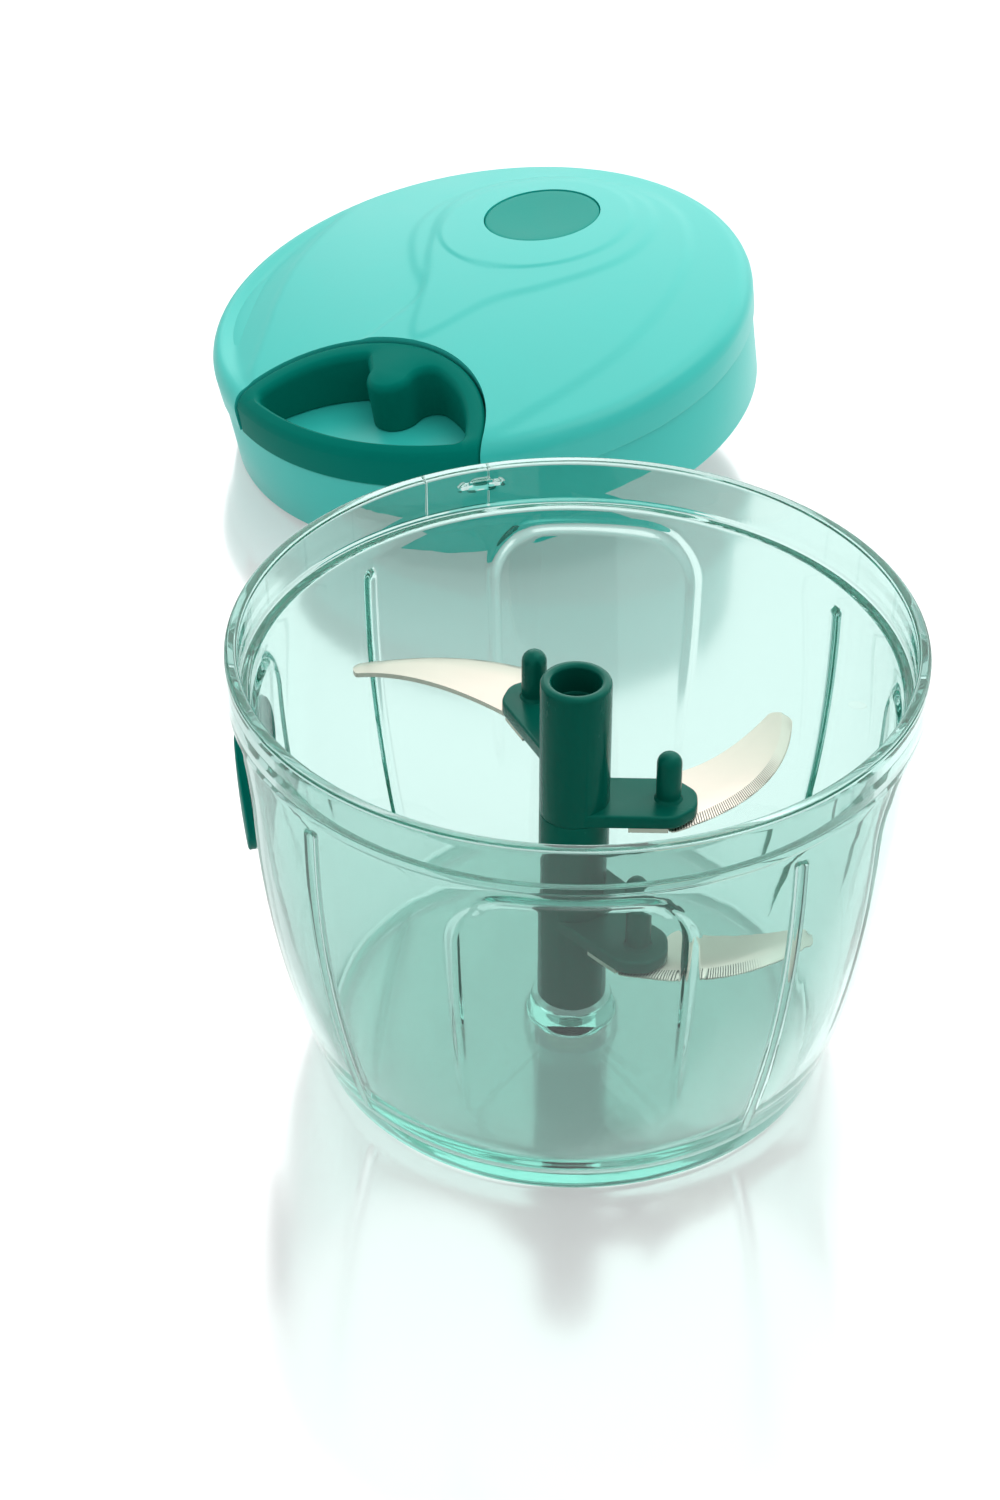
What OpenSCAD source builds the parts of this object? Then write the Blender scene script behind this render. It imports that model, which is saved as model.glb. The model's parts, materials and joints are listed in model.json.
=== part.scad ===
// Hand-pulled food chopper: a clear bowl with its spinning blade set, and the
// cord-driven lid set down behind it, leaning on its own drive spindle.
// Millimetres, +Z up, the bowl's base centred on the origin at z = 0.

/* [Bowl] */
// Outer radius of the upright band at the rim
rim_r = 65; // [60:0.5:70]
// Height from the table to the rim
bowl_h = 91.7; // [86:0.1:100]
// Height of the upright band at the rim
band_h = 9.3; // [8.5:0.1:11]
// Thickness of the band
band_t = 2.5; // [2.2:0.1:3]
// Outer step below the band
band_step = 1.4; // [0.8:0.1:2]
// Thickness of the curved wall
wall_t = 3; // [2.6:0.1:3.6]
// Outer radius at the foot
foot_r = 50; // [47:0.5:53]
// Height at which the curved wall stands upright
belly_z = 75; // [70:1:79]
// Thickness of the floor
floor_t = 3.4; // [3:0.1:4.5]
// Bevel on the foot and rim edges
edge_c = 0.8; // [0.5:0.1:1]
// Height of the boss that holds the pivot pin
boss_h = 4; // [3:0.5:5]
// Radius of the boss
boss_r = 8; // [7:0.5:10]

/* [Bowl panels, ribs and lugs] */
// Width of each sunk panel
panel_w = 43.5; // [38:0.5:46]
// Turns of the four panels: right, back, left and front
panel_turns = [-9, 87, 182, 270];
// Height of the panels' top edge
panel_top = 78; // [72:0.5:79]
// Height at which the panels have faded out
panel_low = 20; // [14:1:26]
// Length over which a panel fades in from below
panel_fade = 26; // [20:1:34]
// Corner radius of the panels
panel_corner = 11; // [8:0.5:14]
// Depth of the panels
panel_depth = 1.1; // [0.8:0.1:1.4]
// Width of the ribs inside the wall
rib_w = 2.8; // [2.2:0.1:3.6]
// Height of the ribs above the wall
rib_depth = 1.4; // [1:0.1:1.8]
// Height of the ribs' round tops
rib_top = 77; // [70:0.5:79]
// Turns of the four ribs, one between each two panels
rib_turns = [33.5, 133, 221.5, 310];
// Length of the locking lug on the band
lug_w = 9; // [7:0.5:12]
// Height of the locking lug
lug_h = 2.6; // [2:0.1:3]
// How far the lug stands out
lug_out = 0.9; // [0.7:0.1:1.2]
// Turn of the lug
lug_turn = 108; // [100:1:116]
// Width of the plain side badge
badge_w = 34; // [28:1:38]
// Height of the plain side badge
badge_h = 24; // [20:1:28]
// Height of the badge's middle
badge_z = 61; // [58:0.5:62]
// How far the badge stands proud of the wall
badge_proud = 0.5; // [0.3:0.1:0.8]

/* [Blade set] */
// Outer radius of the stem
stem_r = 6.8; // [6.4:0.1:7.6]
// Height of the stem's top
stem_top = 82; // [80:0.5:84]
// Radius of the round mouth of the stem
mouth_r = 4.7; // [4.6:0.1:5]
// Depth of the round mouth
mouth_h = 6; // [4:0.5:8]
// Depth of the six-sided socket below the mouth
socket_h = 14; // [12:0.5:16]
// Width of the arms
arm_w = 13; // [11:0.5:15]
// Thickness of the arms
arm_t = 2.9; // [2.4:0.1:3.4]
// Reach of the arms from the axis
arm_reach = 23.5; // [21:0.5:26]
// Distance of the pegs from the arms' ends
peg_in = 5.6; // [5:0.1:6.5]
// Cut corners at the arms' ends
arm_cut = 4; // [3:0.5:5]
// Height of the upper arm's top face
upper_arm_z = 67; // [64:0.5:70]
// Height of the middle arm's top face
middle_arm_z = 55; // [53:0.5:57]
// Height of the lower arm's top face
lower_arm_z = 30; // [28:0.5:34]
// Turn of the upper arm
upper_arm_turn = 117; // [110:1:124]
// Turn of the middle arm
middle_arm_turn = 0; // [-8:1:8]
// Turn of the lower arm
lower_arm_turn = 315; // [305:1:325]
// Radius of the locking pegs
peg_r = 2.45; // [2.2:0.05:2.8]
// Height of the pegs above the arms
peg_h = 10.5; // [9:0.5:12]
// Reach of the upper and middle blades
blade_reach = 54; // [50:0.5:55]
// Reach of the lower blade
lower_reach = 48; // [44:0.5:49]
// Angle by which the upper blade sweeps ahead of its arm
upper_sweep = 28; // [24:1:32]
// Angle by which the other blades sweep ahead of their arms
blade_sweep = 37; // [32:1:42]
// Width of the blades at their roots
blade_root = 18; // [16:0.5:19]
// Offset of the upper blade's root across its arm
upper_shift = -3.8; // [-5:0.1:-3]
// Offset of the other blades' roots across their arms
blade_shift = 2.5; // [2:0.1:4]
// Thickness of the blades
blade_t = 1; // [0.8:0.1:1.2]
// Depth of the blade teeth
tooth_d = 0.5; // [0.3:0.1:0.7]
// Radius of the pivot pin
pin_r = 3; // [2.5:0.1:3.5]
// Length of the pivot bush
bush_h = 12; // [9:0.5:14]

/* [Lid] */
// Thickness of the skirt that goes over the rim
skirt_t = 1.4; // [1.2:0.1:2]
// Height of the skirt
skirt_h = 18.8; // [18:0.1:20]
// How much wider the lid is above the skirt
lid_flare = 1.5; // [1.2:0.1:2]
// Height of the lid's shoulder
side_h = 29.5; // [28:0.5:31]
// Height of the lid's middle
lid_h = 35; // [34.5:0.5:38]
// Rounding of the shoulder
shoulder_r = 5; // [4:0.5:6]
// Thickness of the top shell
shell_t = 2.2; // [2:0.1:2.6]
// Thickness of the lid's floor
base_t = 1.8; // [1.6:0.1:2.2]
// Radius of the round top cap
cap_r = 15; // [12:0.1:16]
// Distance of the cap from the lid's axis
cap_off = 33; // [29:0.5:36]
// Height of the cap
cap_h = 2; // [1.6:0.1:2.4]
// How deep the cap sits in the shell
cap_sink = 1.2; // [0.9:0.1:1.4]
// Place of the lid across the bowl's front
lid_x = -22; // [-40:1:0]
// Place of the lid behind the bowl
lid_y = 232; // [215:1:260]
// Turn of the direction in which the lid leans
lean_turn = 200; // [190:1:240]
// Turn of the handle
grip_turn = 240; // [225:1:245]

/* [Pull handle] */
// Radius of the handle's inner curve
grip_r = 36.5; // [34.5:0.5:37.5]
// Distance of that curve's centre from the lid's axis
grip_c = 66; // [65:0.5:67.5]
// Wall of the handle
grip_t = 5; // [4:0.5:6]
// Width of the post between the finger gaps
post_w = 12; // [10:0.5:13]
// Reach of the post from the lid's axis
post_reach = 47; // [45:0.5:49]
// Wall of the handle's pocket in the lid
pocket_t = 1.8; // [1.5:0.1:2.2]

/* [Drive] */
// Drop of the spindle below the skirt
spindle_drop = 10.4; // [9:0.2:12]
// Radius of the spindle's bearing
spindle_r = 4; // [3.7:0.1:4.2]
// Radius of the spindle's nose
nose_r = 2.9; // [2.6:0.1:3.2]
// Radius of the cord
cord_r = 0.8; // [0.7:0.05:0.9]
// Turns of cord on the reel
cord_turns = 5; // [4:1:5]
// Gap between neighbouring turns of cord
cord_space = 0.5; // [0.45:0.05:0.6]
// Radius of the reel's hub
hub_r = 6.6; // [6:0.1:7]
// Thickness of the reel's flanges
flange_t = 1.3; // [1:0.1:1.5]
// Turns of the recoil spring
spring_turns = 5; // [4:1:6]
// Thickness of the spring strip
spring_t = 0.4; // [0.3:0.05:0.5]
// Height of the spring strip
spring_h = 5; // [4:0.5:5]

/* [Hidden] */
$fn = 96;
clear_green = [0.78, 0.9, 0.86, 0.35];
aqua = [0.45, 0.87, 0.82];
deep_green = [0, 0.42, 0.35];
steel = [0.8, 0.78, 0.76];
brass_tone = [0.78, 0.64, 0.36];
cord_white = [0.9, 0.9, 0.86];
lap = 0.4;
big = 60;
turn = 360;
quarter = 90;
run_fit = 0.05;
run_gap = 0.3;
press = 0;
loose = 0.2;

neck_z = bowl_h - band_h;
neck_r = rim_r - band_step;
belly_d = neck_r - foot_r;
belly_rad = (belly_z * belly_z + belly_d * belly_d) / (2 * belly_d);
wall_steps = 18;
band_out = 3;
left_panel = 2;
fade_start = -0.15;

function wall_or(z) = z >= belly_z
    ? neck_r
    : neck_r - belly_rad + sqrt(belly_rad * belly_rad - (belly_z - z) * (belly_z - z));
function steps(z0, z1) = [for (i = [0:wall_steps]) z0 + (z1 - z0) * i / wall_steps];
function flip(v) = [for (i = [len(v) - 1:-1:0]) v[i]];
function panel_d(z) = min(panel_depth,
    fade_start + (panel_depth - fade_start) * (z - panel_low) / panel_fade);

bowl_profile = concat(
    [[0, 0], [foot_r - edge_c, 0]],
    [for (z = steps(edge_c, neck_z - band_step)) [wall_or(z), z]],
    [[rim_r, neck_z], [rim_r, bowl_h - edge_c], [rim_r - edge_c, bowl_h],
        [rim_r - band_t + edge_c, bowl_h], [rim_r - band_t, bowl_h - edge_c],
        [rim_r - band_t, neck_z], [neck_r - wall_t, neck_z]],
    [for (z = flip(steps(floor_t + wall_t, neck_z - band_step))) [wall_or(z) - wall_t, z]],
    [[wall_or(floor_t) - 2 * wall_t, floor_t], [0, floor_t]]);
panel_zs = steps(panel_low, panel_top + lap);
sunk_band = concat(
    [for (z = panel_zs) [wall_or(z) - panel_d(z), z]],
    [for (z = flip(panel_zs)) [wall_or(z) + band_out, z]]);
raised_band = concat(
    [for (z = panel_zs) [wall_or(z) - wall_t - panel_d(z), z]],
    [for (z = flip(panel_zs)) [wall_or(z) - wall_t + lap, z]]);
badge_band = concat(
    [for (z = panel_zs) [wall_or(z) - panel_d(z), z]],
    [for (z = flip(panel_zs)) [wall_or(z) + badge_proud, z]]);
rib_zs = steps(floor_t, rib_top + lap);
rib_band = concat(
    [for (z = rib_zs) [wall_or(z) - wall_t - rib_depth, z]],
    [for (z = flip(rib_zs)) [wall_or(z) - wall_t + lap, z]]);

stem_low = floor_t + boss_h + run_gap;
pin_top = stem_low + bush_h + edge_c;
pin_seat = floor_t - wall_t / 2;
stem_wall = 2;
bush_r = stem_r - stem_wall;
split_z = middle_arm_z - arm_t;
spigot_wall = 2.6;
spigot_r = stem_r - spigot_wall;
spigot_h = 7;
peg_x = arm_reach - peg_in;
head_h = 1.2;
head_r = peg_r + head_h;
hex_sides = 6;
socket_fit = 0.35;
tang_gap = 3.5;
tang_x = stem_r + tang_gap;
tang_w = arm_w - 2 * lap;
blade_steps = 26;
lower_out = [0.787, 0.102];
lower_in = [0.523, 0.269];
upper_out = [0.792, -0.079];
upper_in = [0.741, 0.259];
heel_turn = 3.6;
heel_reach = 0.95;
tooth_from = 0.3;

function bez(a, b, c, t) = (1 - t) * (1 - t) * a + 2 * t * (1 - t) * b + t * t * c;
function blade_pts(reach, sweep, shift, out, in) = let (
    tip = reach * [cos(sweep), sin(sweep)],
    heel = reach * heel_reach * [cos(sweep + heel_turn), sin(sweep + heel_turn)],
    out_a = [peg_x, shift - blade_root / 2],
    out_c = reach * out,
    in_a = [peg_x, shift + blade_root / 2],
    in_c = reach * in,
    edge = [for (i = [0:blade_steps]) let (
        t = i / blade_steps,
        p = bez(out_a, out_c, tip, t),
        q = bez(in_a, in_c, heel, t),
        d = (q - p) / norm(q - p),
        k = i % 2 == 1 && t > tooth_from ? tooth_d : 0
    ) p + k * d],
    back = [for (i = [blade_steps:-2:0]) bez(in_a, in_c, heel, i / blade_steps)]
) concat(edge, back);

skirt_in = rim_r + lug_out + loose;
skirt_r = skirt_in + skirt_t;
lid_r = skirt_r + lid_flare;
side_draft = 0.3;
lid_step = 0.6;
lean = atan(spindle_drop / (skirt_r - nose_r));
lid_z = skirt_r * sin(lean);
arc_steps = 5;
arc_end = 75;
dome_steps = 10;
seat_lap = shell_t / 2;

function join_r(off) = lid_r - shoulder_r + (shoulder_r - off) * cos(arc_end);
function join_z(off) = side_h - shoulder_r + (shoulder_r - off) * sin(arc_end);
function dome_z(r, off) = join_z(off)
    + (lid_h - off - join_z(off)) * (1 - (r / join_r(off)) * (r / join_r(off)));
function lid_outline(z0, off) = concat(
    [[0, z0], [lid_r - side_draft - off, z0]],
    [for (i = [0:arc_steps]) let (a = arc_end * i / arc_steps)
        [lid_r - shoulder_r + (shoulder_r - off) * cos(a),
            side_h - shoulder_r + (shoulder_r - off) * sin(a)]],
    [for (i = [1:dome_steps]) let (r = join_r(off) * (1 - i / dome_steps)) [r, dome_z(r, off)]]);

grip_gap = 0.4;
grip_lift = 0.3;
grip_flush = 0.3;
pocket_r = grip_r + grip_gap;
cap_lean = atan(2 * (lid_h - join_z(0)) * cap_off / (join_r(0) * join_r(0)));
cap_fit = 0.1;
screw_turns = [75, 150, 210, 285];
screw_ring = 48;
screw_r = 1.5;
screw_in = 8;
boss2_r = 4;
head2_r = 3;
head2_h = 1.6;
lid_lug_h = 1.8;
lid_lug_top = skirt_h - base_t - band_h / 2 - lug_h / 2 - loose;

collar_r = 9;
collar_h = 8.2;
collar_z = skirt_h - collar_h;
bush2_t = 1.8;
bush2_r = spindle_r + bush2_t;
collar_flange_r = 8;
collar_flange_h = 0.7;
reel_z = skirt_h + collar_flange_h + loose;
cord_play = 0.6;
cord_gap = 2 * cord_r + cord_play;
cord_z = reel_z + flange_t + cord_gap / 2;
flange2_z = reel_z + flange_t + cord_gap;
reel_top = flange2_z + flange_t;
cord_pitch = 2 * cord_r + cord_space;
hub_gap = 0.1;
cord_in = hub_r + cord_r + hub_gap;
cord_out = cord_in + cord_pitch * cord_turns;
flange_edge = 1.3;
flange_r = cord_out + cord_r + flange_edge;
clip_t = 0.8;
groove_d = 0.6;
groove_r = spindle_r - groove_d;
clip_out = 2.8;
clip_r = spindle_r + clip_out;
clip_z = collar_z - loose - clip_t;
nose_h = 1.5;
stub_step = 1;
stub_r = spindle_r - stub_step;
spring_lift = 1;
stub_h = spring_lift + spring_h + lap;
spring_z = reel_top + spring_lift;
house_gap = 1.4;
house_r = flange_r + house_gap;
house_t = 1.6;
spring_in = stub_r + spring_t;
spring_out = house_r - spring_t;

wall_x = grip_c - pocket_r - pocket_t;
eye_r = 2.2;
eye_bore = 1.4;
eye_rim = 3.2;
eye_rim_t = 0.6;
knot_r = 2.6;
knot_in = 8.5;
knot_x = grip_c - grip_r + knot_in;
knot_room = 0.4;
bend_r = 2.5;
bend_back = 1.8;
bend_x = wall_x - bend_back;
bend_d = sqrt(bend_x * bend_x + bend_r * bend_r);
leave_a = asin((cord_out + bend_r) / bend_d) - atan(bend_r / bend_x);
cord_from = leave_a - quarter;
loop_rings = 24;
tube_sides = 6;

function dir(a) = [cos(a), sin(a)];
function wind_at(i) = let (
    a = turn * i / loop_rings,
    r = cord_out - cord_pitch * i / loop_rings
) r * dir(cord_from - a);
wind_count = loop_rings * cord_turns;
wind_core = [for (i = [0:wind_count]) wind_at(i)];
wind_dirs = [for (i = [0:wind_count]) dir(cord_from - turn * i / loop_rings - quarter)];
wind_path = concat([wind_core[0] - 2 * cord_r * wind_dirs[0]], wind_core,
    [wind_core[wind_count] + 2 * cord_r * wind_dirs[wind_count]]);
wind_tans = concat([wind_dirs[0]], wind_dirs, [wind_dirs[wind_count]]);
bend_steps = 4;
lead_start = cord_out * dir(cord_from) + (2 * cord_r + run_gap) * dir(leave_a);
lead_bend = [for (i = [0:bend_steps]) let (a = leave_a * (1 - i / bend_steps))
    [bend_x - bend_r * sin(a), bend_r * cos(a) - bend_r]];
lead_bdirs = [for (i = [0:bend_steps]) dir(leave_a * (1 - i / bend_steps))];
lead_path = concat([lead_start], lead_bend, [[knot_x - knot_r - run_gap, 0]]);
lead_tans = concat([dir(leave_a)], lead_bdirs, [[1, 0]]);

gaps = [for (i = [0:wind_count]) for (j = [i + loop_rings / 2:1:wind_count])
    norm(wind_core[i] - wind_core[j]) - 2 * cord_r];
echo(least_cord_gap = min(gaps));

spring_steps = 24;
spring_count = spring_steps * spring_turns;
function spring_r(i) = spring_in + (spring_out - spring_in) * i / spring_count;
function spring_side(off) = [for (i = [0:spring_count])
    (spring_r(i) + off) * dir(turn * i / spring_steps)];

module lid_place()
    translate([lid_x, lid_y, lid_z])
    rotate([0, 0, lean_turn])
    rotate([0, lean, 0])
    rotate([0, 0, grip_turn - lean_turn])
    children();

module round_solid(pts)
    rotate_extrude()
    polygon(pts);

module lid_solid(z0, off)
    round_solid(lid_outline(z0, off));

module outward(length)
    rotate([quarter, 0, quarter])
    linear_extrude(length)
    children();

module arch(w, z0, z1, r) {
    translate([-w / 2, z0])
        square([w, z1 - r - z0]);
    translate([r - w / 2, z0])
        square([w - 2 * r, z1 - z0]);
    for (s = [-1, 1])
        translate([s * (w / 2 - r), z1 - r])
        circle(r);
}

module rib_face() {
    translate([-rib_w / 2, 0])
        square([rib_w, rib_top - rib_w / 2]);
    translate([0, rib_top - rib_w / 2])
        circle(rib_w / 2);
}

module pill(w, h) {
    square([w - h, h], center = true);
    for (s = [-1, 1])
        translate([s * (w - h) / 2, 0])
        circle(h / 2);
}

module at_turns(turns)
    for (a = turns)
        rotate([0, 0, a])
        children();

module flat_tube(path, tans, r, z) {
    n = len(path);
    rings = [for (i = [0:n - 1]) for (k = [0:tube_sides - 1]) let (a = turn * k / tube_sides)
        [path[i][0] - r * cos(a) * tans[i][1], path[i][1] + r * cos(a) * tans[i][0],
            z + r * sin(a)]];
    sides = [for (i = [0:n - 2]) for (k = [0:tube_sides - 1]) let (
        a = i * tube_sides + k,
        b = i * tube_sides + (k + 1) % tube_sides
    ) each [[a, a + tube_sides, b], [b, a + tube_sides, b + tube_sides]]];
    first = [for (k = [1:tube_sides - 2]) [0, k, k + 1]];
    last = [for (k = [1:tube_sides - 2]) let (e = (n - 1) * tube_sides) [e, e + k + 1, e + k]];
    polyhedron(rings, concat(sides, first, last));
}

module bowl()
    color(clear_green)
    difference() {
        union() {
            round_solid(bowl_profile);
            translate([0, 0, floor_t - lap])
                cylinder(r = boss_r, h = boss_h + lap);
            at_turns(panel_turns)
                intersection() {
                    round_solid(raised_band);
                    outward(rim_r) arch(panel_w, panel_low, panel_top, panel_corner);
                }
            at_turns(rib_turns)
                intersection() {
                    round_solid(rib_band);
                    outward(rim_r) rib_face();
                }
            rotate([0, 0, lug_turn])
                intersection() {
                    translate([0, 0, neck_z])
                        cylinder(r = rim_r + lug_out, h = band_h);
                    translate([rim_r - band_t / 2, 0, bowl_h - band_h / 2])
                        outward(band_t) pill(lug_w, lug_h);
                }
        }
        at_turns(panel_turns)
            intersection() {
                round_solid(sunk_band);
                outward(rim_r) arch(panel_w, panel_low, panel_top, panel_corner);
            }
        translate([0, 0, pin_seat])
            cylinder(r = pin_r + press, h = big);
    }

module pivot_pin()
    color(steel)
    round_solid([[0, pin_seat], [pin_r, pin_seat], [pin_r, pin_top - edge_c],
        [pin_r - edge_c, pin_top], [0, pin_top]]);

module side_badge()
    color(deep_green)
    rotate([0, 0, panel_turns[left_panel]])
    intersection() {
        round_solid(badge_band);
        translate([0, 0, badge_z])
            outward(rim_r) pill(badge_w, badge_h);
    }

module arm(z, a)
    rotate([0, 0, a])
    translate([0, 0, z - arm_t])
    linear_extrude(arm_t)
    difference() {
        polygon([[0, -arm_w / 2], [arm_reach - arm_cut, -arm_w / 2],
            [arm_reach, arm_cut - arm_w / 2], [arm_reach, arm_w / 2 - arm_cut],
            [arm_reach - arm_cut, arm_w / 2], [0, arm_w / 2]]);
        translate([peg_x, 0])
            circle(peg_r + press);
    }

module stem_upper()
    color(deep_green)
    difference() {
        union() {
            translate([0, 0, split_z])
                cylinder(r = stem_r, h = stem_top - split_z);
            arm(upper_arm_z, upper_arm_turn);
            arm(middle_arm_z, middle_arm_turn);
        }
        translate([0, 0, stem_top - mouth_h])
            cylinder(r = mouth_r, h = big);
        translate([0, 0, stem_top - mouth_h - socket_h])
            cylinder(r = spindle_r + socket_fit, h = socket_h + lap, $fn = hex_sides);
        translate([0, 0, split_z - lap])
            cylinder(r = spigot_r + press, h = spigot_h + lap);
    }

module stem_lower()
    color(deep_green)
    difference() {
        union() {
            translate([0, 0, stem_low])
                cylinder(r = stem_r, h = split_z - stem_low);
            translate([0, 0, split_z - lap])
                cylinder(r = spigot_r, h = spigot_h + lap);
            arm(lower_arm_z, lower_arm_turn);
        }
        translate([0, 0, stem_low - lap])
            cylinder(r = bush_r + press, h = bush_h + lap);
        translate([0, 0, stem_low - lap])
            cylinder(r = pin_r + run_gap, h = bush_h + 2 * wall_t);
    }

module pivot_bush()
    color(brass_tone)
    translate([0, 0, stem_low])
    difference() {
        cylinder(r = bush_r, h = bush_h);
        translate([0, 0, -lap])
            cylinder(r = pin_r + run_fit, h = bush_h + 2 * lap);
    }

module blade(z, a, reach, sweep, shift, out, in)
    color(steel)
    rotate([0, 0, a])
    translate([0, 0, z - arm_t - blade_t])
    linear_extrude(blade_t)
    difference() {
        union() {
            polygon(blade_pts(reach, sweep, shift, out, in));
            translate([tang_x, -tang_w / 2])
                square([peg_x + lap - tang_x, tang_w]);
        }
        translate([peg_x, 0])
            circle(peg_r + press);
    }

module peg(z, a)
    color(deep_green)
    rotate([0, 0, a])
    translate([peg_x, 0, z - arm_t - blade_t]) {
        translate([0, 0, -head_h])
            cylinder(r = head_r, h = head_h);
        cylinder(r = peg_r, h = arm_t + blade_t + peg_h - peg_r);
        translate([0, 0, arm_t + blade_t + peg_h - peg_r])
            sphere(peg_r);
    }

module upper_blade()
    blade(upper_arm_z, upper_arm_turn, blade_reach, upper_sweep, upper_shift, upper_out,
        upper_in);

module middle_blade()
    blade(middle_arm_z, middle_arm_turn, blade_reach, blade_sweep, blade_shift, lower_out,
        lower_in);

module lower_blade()
    blade(lower_arm_z, lower_arm_turn, lower_reach, blade_sweep, blade_shift, lower_out,
        lower_in);

module upper_peg()
    peg(upper_arm_z, upper_arm_turn);

module middle_peg()
    peg(middle_arm_z, middle_arm_turn);

module lower_peg()
    peg(lower_arm_z, lower_arm_turn);

module lid_base()
    color(aqua)
    lid_place()
    difference() {
        union() {
            round_solid([[skirt_in, 0], [skirt_r, 0], [lid_r - side_draft - lid_step, skirt_h],
                [0, skirt_h], [0, skirt_h - base_t], [skirt_in, skirt_h - base_t]]);
            translate([0, 0, collar_z])
                cylinder(r = collar_r, h = skirt_h - collar_z);
            rotate([0, 0, turn / 2])
                intersection() {
                    translate([0, 0, lid_lug_top - lid_lug_h])
                        difference() {
                            cylinder(r = skirt_in + skirt_t / 2, h = lid_lug_h);
                            translate([0, 0, -lap])
                                cylinder(r = rim_r + loose, h = lid_lug_h + 2 * lap);
                        }
                    outward(lid_r) translate([0, skirt_h / 2]) square([lug_w, skirt_h], center = true);
                }
        }
        translate([0, 0, -lap])
            cylinder(r = bush2_r + press, h = skirt_h + 2 * lap);
        for (a = screw_turns)
            rotate([0, 0, a])
            translate([screw_ring, 0, 0])
            cylinder(r = screw_r + loose, h = skirt_h + lap);
    }

module cap_seat()
    translate([-cap_off, 0, dome_z(cap_off, 0)])
    rotate([0, -cap_lean, 0])
    children();

module lid_shell()
    color(aqua)
    lid_place()
    difference() {
        union() {
            difference() {
                lid_solid(skirt_h, 0);
                lid_solid(skirt_h - lap, shell_t);
            }
            intersection() {
                lid_solid(skirt_h, seat_lap);
                union() {
                    translate([grip_c, 0, 0])
                        cylinder(r = pocket_r + pocket_t, h = big);
                    for (a = screw_turns)
                        rotate([0, 0, a])
                        translate([screw_ring, 0, 0])
                        cylinder(r = boss2_r, h = big);
                    translate([0, 0, spring_z - lap])
                        difference() {
                            cylinder(r = house_r + house_t, h = big);
                            translate([0, 0, -lap])
                                cylinder(r = house_r, h = big + 2 * lap);
                        }
                }
            }
        }
        translate([grip_c, 0, skirt_h - lap])
            cylinder(r = pocket_r, h = big);
        for (a = screw_turns)
            rotate([0, 0, a])
            translate([screw_ring, 0, 0])
            cylinder(r = screw_r + press, h = skirt_h + screw_in + loose);
        cap_seat()
            translate([0, 0, -cap_sink])
            cylinder(r = cap_r + cap_fit, h = cap_h + band_out);
        translate([wall_x - lap, 0, cord_z])
            rotate([0, quarter, 0])
            cylinder(r = eye_r + press, h = pocket_t + 2 * lap);
    }

module top_cap()
    color(deep_green)
    lid_place()
    cap_seat()
    round_solid([[0, -cap_sink], [cap_r, -cap_sink], [cap_r, cap_h - cap_sink - lap],
        [cap_r - lap, cap_h - cap_sink], [0, cap_h - cap_sink]]);

module lid_screws()
    color(steel)
    lid_place()
    for (a = screw_turns)
        rotate([0, 0, a])
        translate([screw_ring, 0, skirt_h - base_t]) {
            translate([0, 0, -head2_h])
                cylinder(r = head2_r, h = head2_h);
            cylinder(r = screw_r, h = base_t + screw_in);
        }

module spindle_bush()
    color(brass_tone)
    lid_place()
    difference() {
        union() {
            translate([0, 0, collar_z])
                cylinder(r = bush2_r, h = skirt_h - collar_z + lap);
            translate([0, 0, skirt_h])
                cylinder(r = collar_flange_r, h = collar_flange_h);
        }
        cylinder(r = spindle_r + run_fit, h = big);
    }

module cord_eyelet()
    color(brass_tone)
    lid_place()
    translate([wall_x - eye_rim_t, 0, cord_z])
    rotate([0, quarter, 0])
    difference() {
        union() {
            cylinder(r = eye_rim, h = eye_rim_t);
            cylinder(r = eye_r, h = eye_rim_t + pocket_t);
        }
        translate([0, 0, -lap])
            cylinder(r = eye_bore, h = eye_rim_t + pocket_t + 2 * lap);
    }

module cord_lead()
    color(cord_white)
    lid_place()
    flat_tube(lead_path, lead_tans, cord_r, cord_z);

module recoil_spring()
    color(steel)
    lid_place()
    translate([0, 0, spring_z])
    linear_extrude(spring_h)
    polygon(concat(spring_side(0), flip(spring_side(spring_t))));

module drive_spindle()
    color(steel)
    lid_place() {
        translate([0, 0, -spindle_drop])
            cylinder(r1 = nose_r, r2 = spindle_r * cos(turn / hex_sides / 2), h = nose_h);
        translate([0, 0, nose_h - spindle_drop])
            cylinder(r = spindle_r, h = clip_z - nose_h + spindle_drop, $fn = hex_sides);
        translate([0, 0, clip_z])
            cylinder(r = groove_r, h = clip_t);
        translate([0, 0, clip_z + clip_t])
            cylinder(r = spindle_r, h = reel_z - clip_z - clip_t);
        translate([0, 0, reel_z])
            cylinder(r = spindle_r, h = reel_top - reel_z, $fn = hex_sides);
        translate([0, 0, reel_top])
            cylinder(r = stub_r, h = stub_h);
    }

module cord_reel()
    color(deep_green)
    lid_place()
    difference() {
        union() {
            translate([0, 0, reel_z])
                cylinder(r = flange_r, h = flange_t);
            translate([0, 0, reel_z])
                cylinder(r = hub_r, h = flange_t + cord_gap);
        }
        translate([0, 0, reel_z - lap])
            cylinder(r = spindle_r + press, h = big, $fn = hex_sides);
    }

module reel_flange()
    color(deep_green)
    lid_place()
    difference() {
        translate([0, 0, flange2_z])
            cylinder(r = flange_r, h = flange_t);
        translate([0, 0, flange2_z - lap])
            cylinder(r = spindle_r + press, h = big, $fn = hex_sides);
    }

module retaining_clip()
    color(steel)
    lid_place()
    translate([0, 0, clip_z])
    difference() {
        cylinder(r = clip_r, h = clip_t);
        translate([0, 0, -lap])
            cylinder(r = groove_r + press, h = clip_t + 2 * lap);
        translate([0, -groove_r, -lap])
            cube([clip_r + lap, 2 * groove_r, clip_t + 2 * lap]);
    }

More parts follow.
